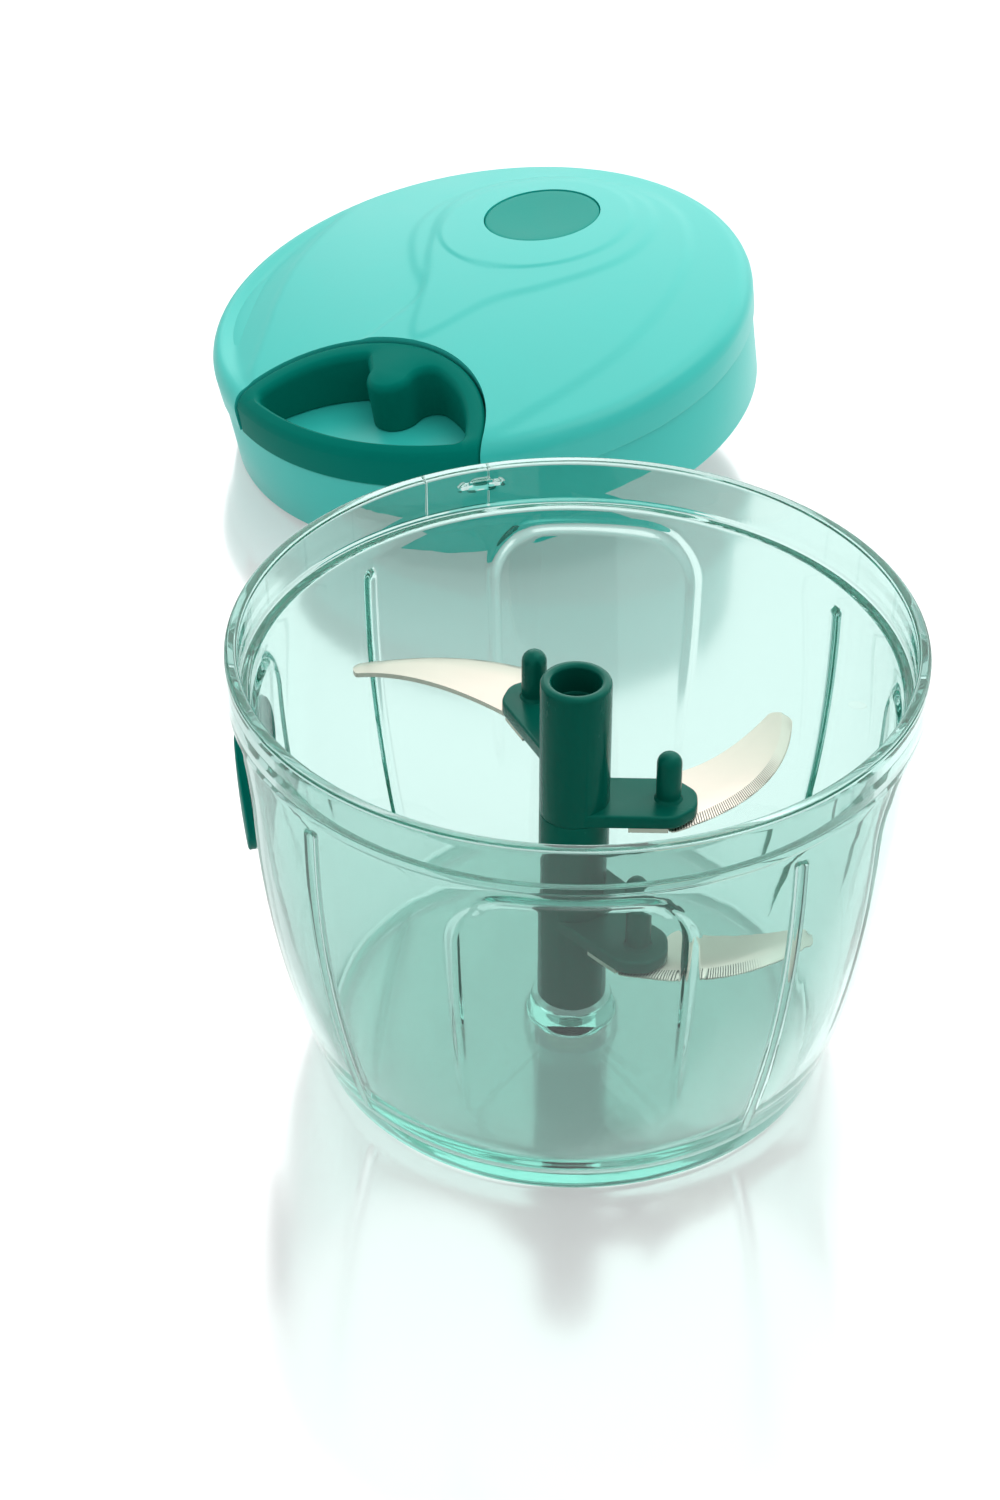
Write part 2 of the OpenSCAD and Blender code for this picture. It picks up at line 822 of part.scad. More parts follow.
module cord_winding()
    color(cord_white)
    lid_place()
    flat_tube(wind_path, wind_tans, cord_r, cord_z);

module pull_handle()
    color(deep_green)
    lid_place()
    difference() {
        intersection() {
            lid_solid(skirt_h + grip_lift, grip_flush);
            translate([grip_c, 0, 0])
                cylinder(r = grip_r, h = big);
        }
        difference() {
            intersection() {
                cylinder(r = lid_r - grip_t, h = big);
                translate([grip_c, 0, 0])
                    cylinder(r = grip_r - grip_t, h = big);
            }
            translate([grip_c - grip_r, -post_w / 2, -lap])
                cube([post_reach - post_w / 2 - grip_c + grip_r, post_w, big + 2 * lap]);
            translate([post_reach - post_w / 2, 0, -lap])
                cylinder(r = post_w / 2, h = big + 2 * lap);
        }
        translate([wall_x, 0, cord_z])
            rotate([0, quarter, 0])
            cylinder(r = eye_bore, h = knot_x - wall_x);
        translate([knot_x, 0, 0])
            cylinder(r = knot_r + knot_room, h = cord_z + knot_r + knot_room);
    }

module cord_knot()
    color(cord_white)
    lid_place()
    translate([knot_x, 0, cord_z])
    sphere(knot_r);

bowl();
pivot_pin();
side_badge();
stem_upper();
stem_lower();
pivot_bush();
upper_blade();
middle_blade();
lower_blade();
upper_peg();
middle_peg();
lower_peg();
lid_base();
lid_shell();
top_cap();
lid_screws();
spindle_bush();
cord_eyelet();
cord_lead();
recoil_spring();
drive_spindle();
cord_reel();
reel_flange();
retaining_clip();
cord_winding();
pull_handle();
cord_knot();
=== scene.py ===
"""Looks of a hand-pulled food chopper: a clear bowl with its blade set, and the domed lid behind it.

Every size below is in millimetres unless its name says otherwise; pieces are scaled to metres when placed.
"""
import json
import logging
import math
from dataclasses import dataclass, field
from enum import Enum
from typing import Callable, Iterable, Sequence

import bmesh
import bpy
import numpy as np
from bmesh.types import BMEdge, BMesh, BMFace, BMVert
from mathutils import Matrix, Vector


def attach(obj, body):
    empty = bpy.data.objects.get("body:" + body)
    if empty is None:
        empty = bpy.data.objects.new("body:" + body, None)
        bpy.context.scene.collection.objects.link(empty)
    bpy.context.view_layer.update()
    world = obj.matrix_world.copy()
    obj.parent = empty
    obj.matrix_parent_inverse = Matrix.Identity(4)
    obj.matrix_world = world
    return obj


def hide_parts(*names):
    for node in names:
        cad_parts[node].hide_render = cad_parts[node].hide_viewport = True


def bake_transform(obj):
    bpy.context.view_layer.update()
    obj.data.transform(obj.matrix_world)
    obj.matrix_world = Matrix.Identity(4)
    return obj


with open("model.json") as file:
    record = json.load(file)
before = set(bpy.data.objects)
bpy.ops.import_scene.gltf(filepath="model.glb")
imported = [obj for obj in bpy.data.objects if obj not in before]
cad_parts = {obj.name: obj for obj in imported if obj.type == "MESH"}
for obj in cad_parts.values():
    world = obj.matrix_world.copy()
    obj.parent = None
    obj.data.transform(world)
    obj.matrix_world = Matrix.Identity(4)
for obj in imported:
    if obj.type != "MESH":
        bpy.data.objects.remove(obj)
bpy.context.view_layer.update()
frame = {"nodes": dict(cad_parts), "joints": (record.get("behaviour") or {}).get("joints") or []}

MM = 0.001
FULL_TURN = 360.0
MERGE = 2e-3
SMOOTH_ANGLE = math.radians(38)
LOG = logging.getLogger("chopper")

Point = tuple[float, float]
Colour = tuple[float, float, float]
Socket = bpy.types.NodeSocket

WHITE = (1.0, 1.0, 1.0, 1.0)
UNIT: Point = (0.0, 1.0)


class Cut(Enum):
    """How one solid is combined with another."""

    JOIN = "UNION"
    CARVE = "DIFFERENCE"
    KEEP = "INTERSECT"


class Slot(Enum):
    """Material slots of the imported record."""

    CLEAR = "clear_plastic"
    AQUA = "aqua_plastic"
    GREEN = "deep_green"
    CAP = "cap_green"
    BLADE = "blade_steel"
    STEEL = "steel"
    BRASS = "brass"
    CORD = "cord"


class Body(Enum):
    """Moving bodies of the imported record."""

    BOWL = "bowl_body"
    BLADES = "blade_body"
    LID = "lid_body"
    REEL = "reel_body"
    HANDLE = "handle_body"


# Outlines

def turned(angle: float, radius: float = 1.0) -> Point:
    """Point on a circle about the origin, at an angle in degrees."""
    return radius * math.cos(math.radians(angle)), radius * math.sin(math.radians(angle))


def arc(centre: Point, radius: float, start: float, end: float, steps: int) -> list[Point]:
    """Points along a circular arc.

    Args:
        centre: Centre of the arc.
        radius: Radius of the arc.
        start: Angle of the first point, in degrees.
        end: Angle of the last point, in degrees.
        steps: Number of straight steps.

    Returns:
        The points from start to end.
    """
    points = []
    for i in range(steps + 1):
        x, y = turned(start + (end - start) * i / steps, radius)
        points.append((centre[0] + x, centre[1] + y))
    return points


def rounded(corners: Sequence[tuple[float, float, float]], steps: int = 4) -> list[Point]:
    """Open outline whose corners are rounded.

    Args:
        corners: Corners as x, y and the radius that rounds each one.
        steps: Straight steps in each rounding.

    Returns:
        The points of the outline.
    """
    points: list[Point] = []
    last = len(corners) - 1
    for i, (x, y, radius) in enumerate(corners):
        here = Vector((x, y))
        if radius <= 0 or i in (0, last):
            points.append((x, y))
            continue
        before = (Vector(corners[i - 1][:2]) - here).normalized()
        after = (Vector(corners[i + 1][:2]) - here).normalized()
        half = before.angle(after) / 2
        reach = radius / math.tan(half)
        centre = here + (before + after).normalized() * radius / math.sin(half)
        first = here + before * reach - centre
        final = here + after * reach - centre
        sweep = first.angle_signed(final)
        for k in range(steps + 1):
            spoke = first.copy()
            spoke.rotate(Matrix.Rotation(-sweep * k / steps, 2))
            points.append(tuple(centre + spoke))
    return points


def spread(low: float, high: float, count: int) -> list[float]:
    """Evenly spaced values from low to high."""
    return [low + (high - low) * i / (count - 1) for i in range(count)]


def ease(value: np.ndarray) -> np.ndarray:
    """Smooth step from 0 to 1 as the value goes from 0 to 1."""
    share = np.clip(value, 0.0, 1.0)
    return share * share * (3 - 2 * share)


def smooth_loop(points: Sequence[Point], per_span: int = 10) -> np.ndarray:
    """Closed curve through a few points.

    Args:
        points: Points that the curve passes through, in order.
        per_span: Steps between two of them.

    Returns:
        An array of points along the curve.
    """
    knots = np.array(points, float)
    before, after = np.roll(knots, 1, 0), np.roll(knots, -1, 0)
    further = np.roll(knots, -2, 0)
    rows = []
    for t in spread(0.0, 1.0, per_span + 1)[:-1]:
        curve = 2 * knots + (after - before) * t
        curve += (2 * before - 5 * knots + 4 * after - further) * t * t
        curve += (3 * knots - before - 3 * after + further) * t ** 3
        rows.append(curve / 2)
    return np.stack(rows, 1).reshape(-1, 2)


def depth_inside(where: np.ndarray, loop: np.ndarray) -> np.ndarray:
    """Distance of points to a closed curve, positive inside it.

    Args:
        where: Points as rows of x and y.
        loop: Points of the closed curve.

    Returns:
        One distance for each point.
    """
    ends = np.roll(loop, -1, 0)
    side = ends - loop
    offset = where[:, None] - loop
    share = np.clip((offset * side).sum(-1) / (side * side).sum(-1), 0, 1)
    near = np.linalg.norm(offset - share[..., None] * side, axis=-1).min(1)
    above = loop[:, 1] > where[:, 1:2]
    crosses = above != (ends[:, 1] > where[:, 1:2])
    height = np.where(side[:, 1] == 0, 1e-9, side[:, 1])
    cut = loop[:, 0] + (where[:, 1:2] - loop[:, 1]) * side[:, 0] / height
    inside = (crosses & (where[:, :1] < cut)).sum(1) % 2 == 1
    return np.where(inside, near, -near)


# Solids

def only(geometry: Iterable, kind: type) -> list:
    """Items of one kind among some geometry."""
    return [item for item in geometry if isinstance(item, kind)]


def put(bm: BMesh, place: Matrix) -> BMesh:
    """Moves a whole mesh to its place."""
    bmesh.ops.transform(bm, matrix=place, verts=bm.verts)
    return bm


def lathe(profile: Sequence[Point], steps: int = 32) -> BMesh:
    """Turned solid about the Z axis, as a quarter and its turned copies.

    Args:
        profile: Radius and height of each point of the outline.
        steps: Straight steps in a quarter turn.

    Returns:
        The closed mesh.
    """
    bm = bmesh.new()
    verts = [bm.verts.new((r, 0, z)) for r, z in profile]
    line = verts + [bm.edges.new(pair) for pair in zip(verts, verts[1:])]
    quarter = FULL_TURN / 4
    bmesh.ops.spin(bm, geom=line, cent=(0, 0, 0), axis=(0, 0, 1), angle=math.radians(quarter), steps=steps)
    first = bm.verts[:] + bm.edges[:] + bm.faces[:]
    for i in range(1, 4):
        copied = bmesh.ops.duplicate(bm, geom=first)["geom"]
        bmesh.ops.rotate(bm, verts=only(copied, BMVert), cent=(0, 0, 0),
                         matrix=Matrix.Rotation(math.radians(quarter * i), 3, "Z"))
    return tidy(bm)


def tidy(bm: BMesh) -> BMesh:
    """Merges doubled points and turns all faces outwards."""
    bmesh.ops.remove_doubles(bm, verts=bm.verts, dist=MERGE)
    bmesh.ops.dissolve_degenerate(bm, edges=bm.edges, dist=MERGE)
    bmesh.ops.recalc_face_normals(bm, faces=bm.faces)
    return bm


def prism(loop: Sequence[Point], low: float, high: float) -> BMesh:
    """Upright solid over a closed outline.

    Args:
        loop: Outline seen from above.
        low: Height of its foot.
        high: Height of its top.

    Returns:
        The closed mesh.
    """
    bm = bmesh.new()
    face = bmesh.ops.contextual_create(bm, geom=[bm.verts.new((x, y, low)) for x, y in loop])["faces"]
    made = bmesh.ops.extrude_face_region(bm, geom=face, use_keep_orig=True)["geom"]
    bmesh.ops.translate(bm, verts=only(made, BMVert), vec=(0, 0, high - low))
    bmesh.ops.recalc_face_normals(bm, faces=bm.faces)
    return bm


def disc(radius: float, low: float, high: float, centre: Point = (0.0, 0.0),
         sides: int = 160) -> BMesh:
    """Upright cylinder."""
    return prism(arc(centre, radius, 0, FULL_TURN, sides)[:-1], low, high)


def combine(base: BMesh, tool: BMesh, cut: Cut) -> BMesh:
    """Joins, carves or keeps one solid with another.

    Args:
        base: Solid that is changed; it is used up.
        tool: Solid that changes it; it is used up.
        cut: What is done.

    Returns:
        The new solid.
    """
    objects = []
    for bm in (base, tool):
        mesh = bpy.data.meshes.new("blank")
        bm.to_mesh(mesh)
        bm.free()
        blank = bpy.data.objects.new("blank", mesh)
        bpy.context.scene.collection.objects.link(blank)
        objects.append(blank)
    modifier = objects[0].modifiers.new(cut.name, "BOOLEAN")
    modifier.operation = cut.value
    modifier.object = objects[1]
    modifier.solver = "MANIFOLD"
    evaluated = objects[0].evaluated_get(bpy.context.evaluated_depsgraph_get())
    result = bmesh.new()
    result.from_mesh(evaluated.to_mesh())
    evaluated.to_mesh_clear()
    for blank in objects:
        mesh = blank.data
        bpy.data.objects.remove(blank)
        bpy.data.meshes.remove(mesh)
    return result


def move_points(bm: BMesh, rule: Callable[[np.ndarray], np.ndarray]) -> BMesh:
    """Moves every point of a mesh by a rule on the whole array of points."""
    places = np.array([v.co for v in bm.verts], float)
    for vert, place in zip(bm.verts, rule(places)):
        vert.co = place
    return bm


def soften(bm: BMesh, edges: Iterable[BMEdge], width: float, steps: int = 3) -> None:
    """Rounds some edges of a mesh."""
    bmesh.ops.bevel(bm, geom=list(edges), offset=width, offset_type="OFFSET", segments=steps, profile=0.5,
                    affect="EDGES", material=-1, clamp_overlap=True)


def sharp_edges(bm: BMesh, angle: float = 40.0) -> list[BMEdge]:
    """Edges at which two faces meet at more than an angle in degrees."""
    return [e for e in bm.edges if len(e.link_faces) == 2 and e.calc_face_angle(0.0) > math.radians(angle)]


@dataclass
class Piece:
    """One finished piece: its mesh, finish, body and the nodes that it stands for."""

    name: str
    bm: BMesh
    finishes: Sequence[bpy.types.Material]
    body: Body
    slot: Slot
    replaces: Sequence[str] = ()
    place: Matrix = field(default_factory=lambda: Matrix.Identity(4))

    def add(self, ride: bool = True) -> bpy.types.Object:
        """Places the piece in the frame.

        Args:
            ride: Whether the piece moves with its body as a whole.

        Returns:
            The new object.
        """
        put(self.bm, self.place @ Matrix.Scale(MM, 4))
        mesh = bpy.data.meshes.new(self.name)
        self.bm.to_mesh(mesh)
        self.bm.free()
        mesh.shade_smooth()
        mesh.set_sharp_from_angle(angle=SMOOTH_ANGLE)
        for finish in self.finishes:
            mesh.materials.append(finish)
        piece = bpy.data.objects.new(self.name, mesh)
        bpy.context.scene.collection.objects.link(piece)
        if ride:
            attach(piece, self.body.value)
        if self.replaces:
            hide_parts(*self.replaces)
        LOG.info("%s: %d faces on %s", self.name, len(mesh.polygons), self.body.value)
        return piece


# Finishes

class Nodes:
    """A node tree with short ways to add and join nodes."""

    def __init__(self, tree: bpy.types.NodeTree) -> None:
        """Starts on an emptied tree."""
        self.tree = tree
        tree.nodes.clear()

    def add(self, kind: str, links: dict | None = None, **values: object) -> bpy.types.Node:
        """Adds a node.

        Args:
            kind: Type of the node.
            links: Sockets or constants for its inputs, by name or number.
            **values: Properties of the node itself.

        Returns:
            The new node.
        """
        node = self.tree.nodes.new(kind)
        for name, value in values.items():
            setattr(node, name, value)
        for name, value in (links or {}).items():
            if isinstance(value, Socket):
                self.tree.links.new(value, node.inputs[name])
            else:
                node.inputs[name].default_value = value
        return node

    def math(self, operation: str, *values: Socket | float) -> Socket:
        """Result of one arithmetic step."""
        return self.add("ShaderNodeMath", dict(enumerate(values)), operation=operation).outputs[0]

    def remap(self, value: Socket, source: Point = UNIT, target: Point = UNIT) -> Socket:
        """Value carried from one range to another, and held at its ends."""
        ends = {"From Min": source[0], "From Max": source[1], "To Min": target[0], "To Max": target[1]}
        return self.add("ShaderNodeMapRange", {"Value": value, **ends}).outputs[0]

    def noise(self, where: Socket, scale: Socket | float, detail: float, roughness: float = 0.5,
              distortion: float = 0.0) -> Socket:
        """Cloudy noise from 0 to 1."""
        return self.add("ShaderNodeTexNoise", {
            "Vector": where, "Scale": scale, "Detail": detail, "Roughness": roughness,
            "Distortion": distortion}).outputs["Fac"]

    def tint(self, share: Socket, first: Colour, second: Colour) -> Socket:
        """Colour between two others."""
        ends = {0: share, 6: (*first, 1), 7: (*second, 1)}
        return self.add("ShaderNodeMix", ends, data_type="RGBA").outputs[2]

    def bump(self, height: Socket, strength: float, depth: float, invert: bool = False) -> Socket:
        """Normal of a surface with a fine relief, whose depth is in metres."""
        links = {"Height": height, "Strength": strength, "Distance": depth}
        return self.add("ShaderNodeBump", links, invert=invert).outputs[0]

    def group(self, tree: bpy.types.NodeTree, inputs: dict | None = None) -> bpy.types.bpy_prop_collection:
        """Outputs of a shared effect."""
        return self.add("ShaderNodeGroup", inputs, node_tree=tree).outputs

    def shown(self) -> Socket:
        """1 where the camera, a mirror or clear plastic shows this surface, and 0 for other light."""
        path = self.add("ShaderNodeLightPath").outputs
        seen = self.math("MAXIMUM", path["Is Camera Ray"], path["Is Glossy Ray"])
        return self.math("MAXIMUM", seen, path["Is Transmission Ray"])


def new_group(name: str, inputs: dict[str, float], outputs: Sequence[str]) -> tuple[Nodes, bpy.types.Node]:
    """Shader group with number inputs and number outputs.

    Args:
        name: Name of the group.
        inputs: Inputs and their usual values.
        outputs: Names of the outputs.

    Returns:
        The group's nodes and its input node.
    """
    tree = bpy.data.node_groups.new(name, "ShaderNodeTree")
    for label, value in inputs.items():
        socket = tree.interface.new_socket(name=label, in_out="INPUT", socket_type="NodeSocketFloat")
        socket.default_value = value
    for label in outputs:
        tree.interface.new_socket(name=label, in_out="OUTPUT", socket_type="NodeSocketFloat")
    nodes = Nodes(tree)
    return nodes, nodes.add("NodeGroupInput")


class SurfaceGroups:
    """Effects that several finishes share."""

    def __init__(self) -> None:
        """Builds the groups once."""
        self.moulding = self.make_moulding()
        self.marks = self.make_marks()

    @staticmethod
    def make_moulding() -> bpy.types.NodeTree:
        """Mottling and fine grain of moulded plastic, as a mask and a height."""
        nodes, given = new_group("moulding", {"Flow": 45.0, "Grain": 3200.0}, ("Mottle", "Height"))
        where = nodes.add("ShaderNodeTexCoord").outputs["Object"]
        flow = nodes.noise(where, given.outputs["Flow"], 3.0, distortion=0.6)
        grain = nodes.noise(where, given.outputs["Grain"], 2.0, 0.6)
        height = nodes.math("MULTIPLY_ADD", flow, 4.0, grain)
        nodes.add("NodeGroupOutput", {"Mottle": flow, "Height": height})
        return nodes.tree

    @staticmethod
    def make_marks() -> bpy.types.NodeTree:
        """Faint handling scratches and smears, as a mask."""
        nodes, given = new_group("handling_marks", {"Scale": 30.0, "Amount": 0.5}, ("Mask",))
        where = nodes.add("ShaderNodeTexCoord").outputs["Object"]
        bent = nodes.add("ShaderNodeMapping", {"Vector": where, "Rotation": (0.4, 0.2, 0.7),
                                               "Scale": (1.0, 14.0, 3.0)})
        hair = nodes.noise(bent.outputs[0], given.outputs["Scale"], 6.0, 0.75)
        smear = nodes.noise(where, given.outputs["Scale"], 2.0)
        both = nodes.math("MULTIPLY", nodes.remap(hair, (0.6, 0.72)), smear)
        nodes.add("NodeGroupOutput", {"Mask": nodes.math("MULTIPLY", both, given.outputs["Amount"])})
        return nodes.tree


GROUPS = SurfaceGroups()


@dataclass(frozen=True)
class Finish:
    """A named material, whose nodes each kind of finish lays out."""

    name: str

    def lay_out(self, nodes: Nodes) -> dict[str, Socket]:
        """Adds the finish's nodes.

        Args:
            nodes: The material's emptied tree.

        Returns:
            Sockets for the material's output.
        """
        raise NotImplementedError

    def build(self) -> bpy.types.Material:
        """Makes the material."""
        material = bpy.data.materials.new(self.name)
        material.use_nodes = True
        nodes = Nodes(material.node_tree)
        nodes.add("ShaderNodeOutputMaterial", self.lay_out(nodes))
        return material


@dataclass(frozen=True)
class Moulded(Finish):
    """Opaque moulded plastic."""

    colour: Colour
    shade: Colour
    roughness: float
    specular: float = 0.5
    gloss: Colour = (1.0, 1.0, 1.0)
    uneven: float = 0.15
    wear: float = 0.25
    grain: float = 0.25
    grain_depth: float = 0.00003

    def lay_out(self, nodes: Nodes) -> dict[str, Socket]:
        """Adds mottled colour, uneven gloss and a fine grain."""
        body = nodes.group(GROUPS.moulding)
        ends = (self.roughness * (1 - self.uneven), self.roughness * (1 + self.uneven))
        rough = nodes.remap(body["Mottle"], target=ends)
        shader = nodes.add("ShaderNodeBsdfPrincipled", {
            "Base Color": nodes.tint(body["Mottle"], self.shade, self.colour),
            "Roughness": nodes.math("MULTIPLY_ADD", nodes.group(GROUPS.marks)["Mask"], self.wear, rough),
            "Normal": nodes.bump(body["Height"], self.grain, self.grain_depth),
            "IOR": 1.5, "Specular IOR Level": self.specular, "Specular Tint": (*self.gloss, 1)})
        return {"Surface": shader.outputs[0]}


@dataclass(frozen=True)
class Clear(Finish):
    """Tinted clear plastic."""

    tint: Colour
    absorbs: Colour
    density: float
    roughness: float = 0.012
    index: float = 1.5
    wear: float = 0.06
    ripple: float = 0.12
    ripple_depth: float = 0.0002

    def lay_out(self, nodes: Nodes) -> dict[str, Socket]:
        """Adds a clear, faintly rippled skin over an absorbing inside."""
        marks = nodes.group(GROUPS.marks)
        mottle = nodes.group(GROUPS.moulding)["Mottle"]
        shader = nodes.add("ShaderNodeBsdfPrincipled", {
            "Base Color": (*self.tint, 1), "IOR": self.index, "Transmission Weight": 1.0,
            "Roughness": nodes.math("MULTIPLY_ADD", marks["Mask"], self.wear, self.roughness),
            "Normal": nodes.bump(mottle, self.ripple, self.ripple_depth)})
        inside = nodes.add("ShaderNodeVolumeAbsorption", {
            "Color": (*self.absorbs, 1), "Density": self.density})
        return {"Surface": shader.outputs[0], "Volume": inside.outputs[0]}


@dataclass(frozen=True)
class Metal(Finish):
    """Brushed or turned metal."""

    colour: Colour
    shade: Colour
    roughness: float
    turn: float = 0.0
    stretch: tuple[float, float, float] = (30.0, 1400.0, 1400.0)
    uneven: float = 0.3
    wear: float = 0.15
    marks_scale: float = 60.0
    brush: float = 0.2
    brush_depth: float = 0.00002

    def lay_out(self, nodes: Nodes) -> dict[str, Socket]:
        """Adds fine lines that tint, roughen and score the metal."""
        where = nodes.add("ShaderNodeTexCoord").outputs["Object"]
        along = nodes.add("ShaderNodeMapping", {
            "Vector": where, "Rotation": (0, 0, -math.radians(self.turn)), "Scale": self.stretch})
        lines = nodes.noise(along.outputs[0], 1.0, 4.0, 0.65)
        marks = nodes.group(GROUPS.marks, {"Scale": self.marks_scale})
        ends = (self.roughness * (1 - self.uneven), self.roughness * (1 + self.uneven))
        rough = nodes.remap(lines, target=ends)
        shader = nodes.add("ShaderNodeBsdfPrincipled", {
            "Base Color": nodes.tint(lines, self.shade, self.colour), "Metallic": 1.0,
            "Roughness": nodes.math("MULTIPLY_ADD", marks["Mask"], self.wear, rough),
            "Normal": nodes.bump(lines, self.brush, self.brush_depth)})
        return {"Surface": shader.outputs[0]}


@dataclass(frozen=True)
class GroundEdge(Finish):
    """Ground and finely toothed steel edge, along the blade's own UV map in millimetres, with painted shade
    darkening the grooves between its teeth.
    """

    colour: Colour
    shade: Colour
    toothed: float
    pitch: float = 0.62
    groove: Point = (0.25, 0.42)
    fade_in: Point = (0.4, 1.6)
    fade_out: float = 8.0
    roughness: float = 0.38
    score: float = 0.4
    score_depth: float = 0.0002

    def lay_out(self, nodes: Nodes) -> dict[str, Socket]:
        """Adds a row of fine grooves that fades out along the edge, each darkened with painted shade."""
        where = nodes.add("ShaderNodeUVMap").outputs[0]
        along = nodes.add("ShaderNodeSeparateXYZ", {0: where}).outputs["X"]
        comb = nodes.math("PINGPONG", along, self.pitch / 2)
        line = nodes.remap(comb, (self.pitch * self.groove[0], self.pitch * self.groove[1]))
        kept = nodes.math("MULTIPLY", nodes.remap(along, self.fade_in),
                          nodes.remap(along, (self.toothed, self.toothed - self.fade_out)))
        # painted shade: the groove mask darkens the steel's colour towards the near-black second colour,
        # and also scores the bump
        cut = nodes.math("MULTIPLY", line, kept)
        shader = nodes.add("ShaderNodeBsdfPrincipled", {
            "Base Color": nodes.tint(cut, self.colour, self.shade), "Metallic": 1.0,
            "Roughness": self.roughness, "Normal": nodes.bump(cut, self.score, self.score_depth, True)})
        return {"Surface": shader.outputs[0]}


@dataclass(frozen=True)
class Braid(Finish):
    """Braided cord, with its strands along the tube's own UV map in millimetres, and painted shade
    darkening the gaps between strands.
    """

    colour: Colour
    shade: Colour
    strand: float
    lean: float = 45.0
    wave: float = 0.314
    relief: float = 0.6
    relief_depth: float = 0.0002

    def lay_out(self, nodes: Nodes) -> dict[str, Socket]:
        """Adds two sets of strands that cross, with painted shade in the gaps between them."""
        where = nodes.add("ShaderNodeUVMap").outputs[0]
        crossed = []
        for side in (-1, 1):
            lean = nodes.add("ShaderNodeMapping", {
                "Vector": where, "Rotation": (0, 0, side * math.radians(self.lean))})
            strands = nodes.add("ShaderNodeTexWave", {
                "Vector": lean.outputs[0], "Scale": self.wave / self.strand, "Distortion": 0.4})
            crossed.append(strands.outputs["Fac"])
        weave_and_gap_shade = nodes.math("MAXIMUM", *crossed)
        # painted shade: where the strands are low, between them, the colour falls to the darker second
        # colour
        shader = nodes.add("ShaderNodeBsdfPrincipled", {
            "Base Color": nodes.tint(weave_and_gap_shade, self.shade, self.colour), "Roughness": 0.8,
            "Normal": nodes.bump(weave_and_gap_shade, self.relief, self.relief_depth), "Sheen Weight": 0.3})
        return {"Surface": shader.outputs[0]}


@dataclass(frozen=True)
class WhiteFloor(Finish):
    """Glossy white floor that keeps the object's shadow and reflection."""

    colour: Colour = (0.93, 0.935, 0.94)
    white: float = 0.55
    gloss: float = 0.3
    roughness: float = 0.15

    def lay_out(self, nodes: Nodes) -> dict[str, Socket]:
        """Adds a matt body that takes shadows, white where it shows, and a glossy skin."""
        share = nodes.math("MULTIPLY", nodes.shown(), self.white)
        matt = nodes.add("ShaderNodeBsdfDiffuse", {"Color": (*self.colour, 1)})
        white = nodes.add("ShaderNodeEmission", {"Color": WHITE, "Strength": 1.0})
        body = nodes.add("ShaderNodeMixShader", {0: share, 1: matt.outputs[0], 2: white.outputs[0]})
        gloss = nodes.add("ShaderNodeBsdfGlossy", {"Color": WHITE, "Roughness": self.roughness})
        top = nodes.add("ShaderNodeMixShader", {0: self.gloss, 1: body.outputs[0], 2: gloss.outputs[0]})
        return {"Surface": top.outputs[0]}


CLEAR = Clear("clear_green_plastic", (0.60, 0.775, 0.735), (0.06, 0.64, 0.55), 16.0).build()
AQUA = Moulded("aqua_plastic", (0.035, 0.60, 0.53), (0.03, 0.57, 0.505), 0.36).build()
GREEN = Moulded("deep_green_plastic", (0.0005, 0.20, 0.155), (0.0005, 0.185, 0.143), 0.45,
                0.06, (0.05, 0.9, 0.78)).build()
STEM = Moulded("stem_green_plastic", (0.0005, 0.105, 0.075), (0.0005, 0.092, 0.066), 0.24,
               0.3, (0.2, 0.9, 0.72)).build()
CAP = Moulded("cap_green_plastic", (0.006, 0.33, 0.27), (0.005, 0.305, 0.25), 0.4,
              0.12, (0.1, 0.9, 0.8)).build()
STEEL = Metal("plain_steel", (0.68, 0.67, 0.66), (0.52, 0.52, 0.52), 0.28).build()
BRASS = Metal("turned_brass", (0.78, 0.6, 0.3), (0.62, 0.45, 0.2), 0.25,
              stretch=(400.0, 400.0, 2500.0)).build()
# the second, darker colour is painted shade for the gaps between the cord's strands
CORD = Braid("braided_cord", (0.86, 0.86, 0.82), (0.5, 0.5, 0.47), 0.5).build()


def dress(node: str, finish: bpy.types.Material) -> None:
    """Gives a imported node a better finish."""
    part = frame["nodes"][node]
    part.data.materials.clear()
    part.data.materials.append(finish)
    LOG.info("%s: dressed in %s", node, finish.name)


# Bowl

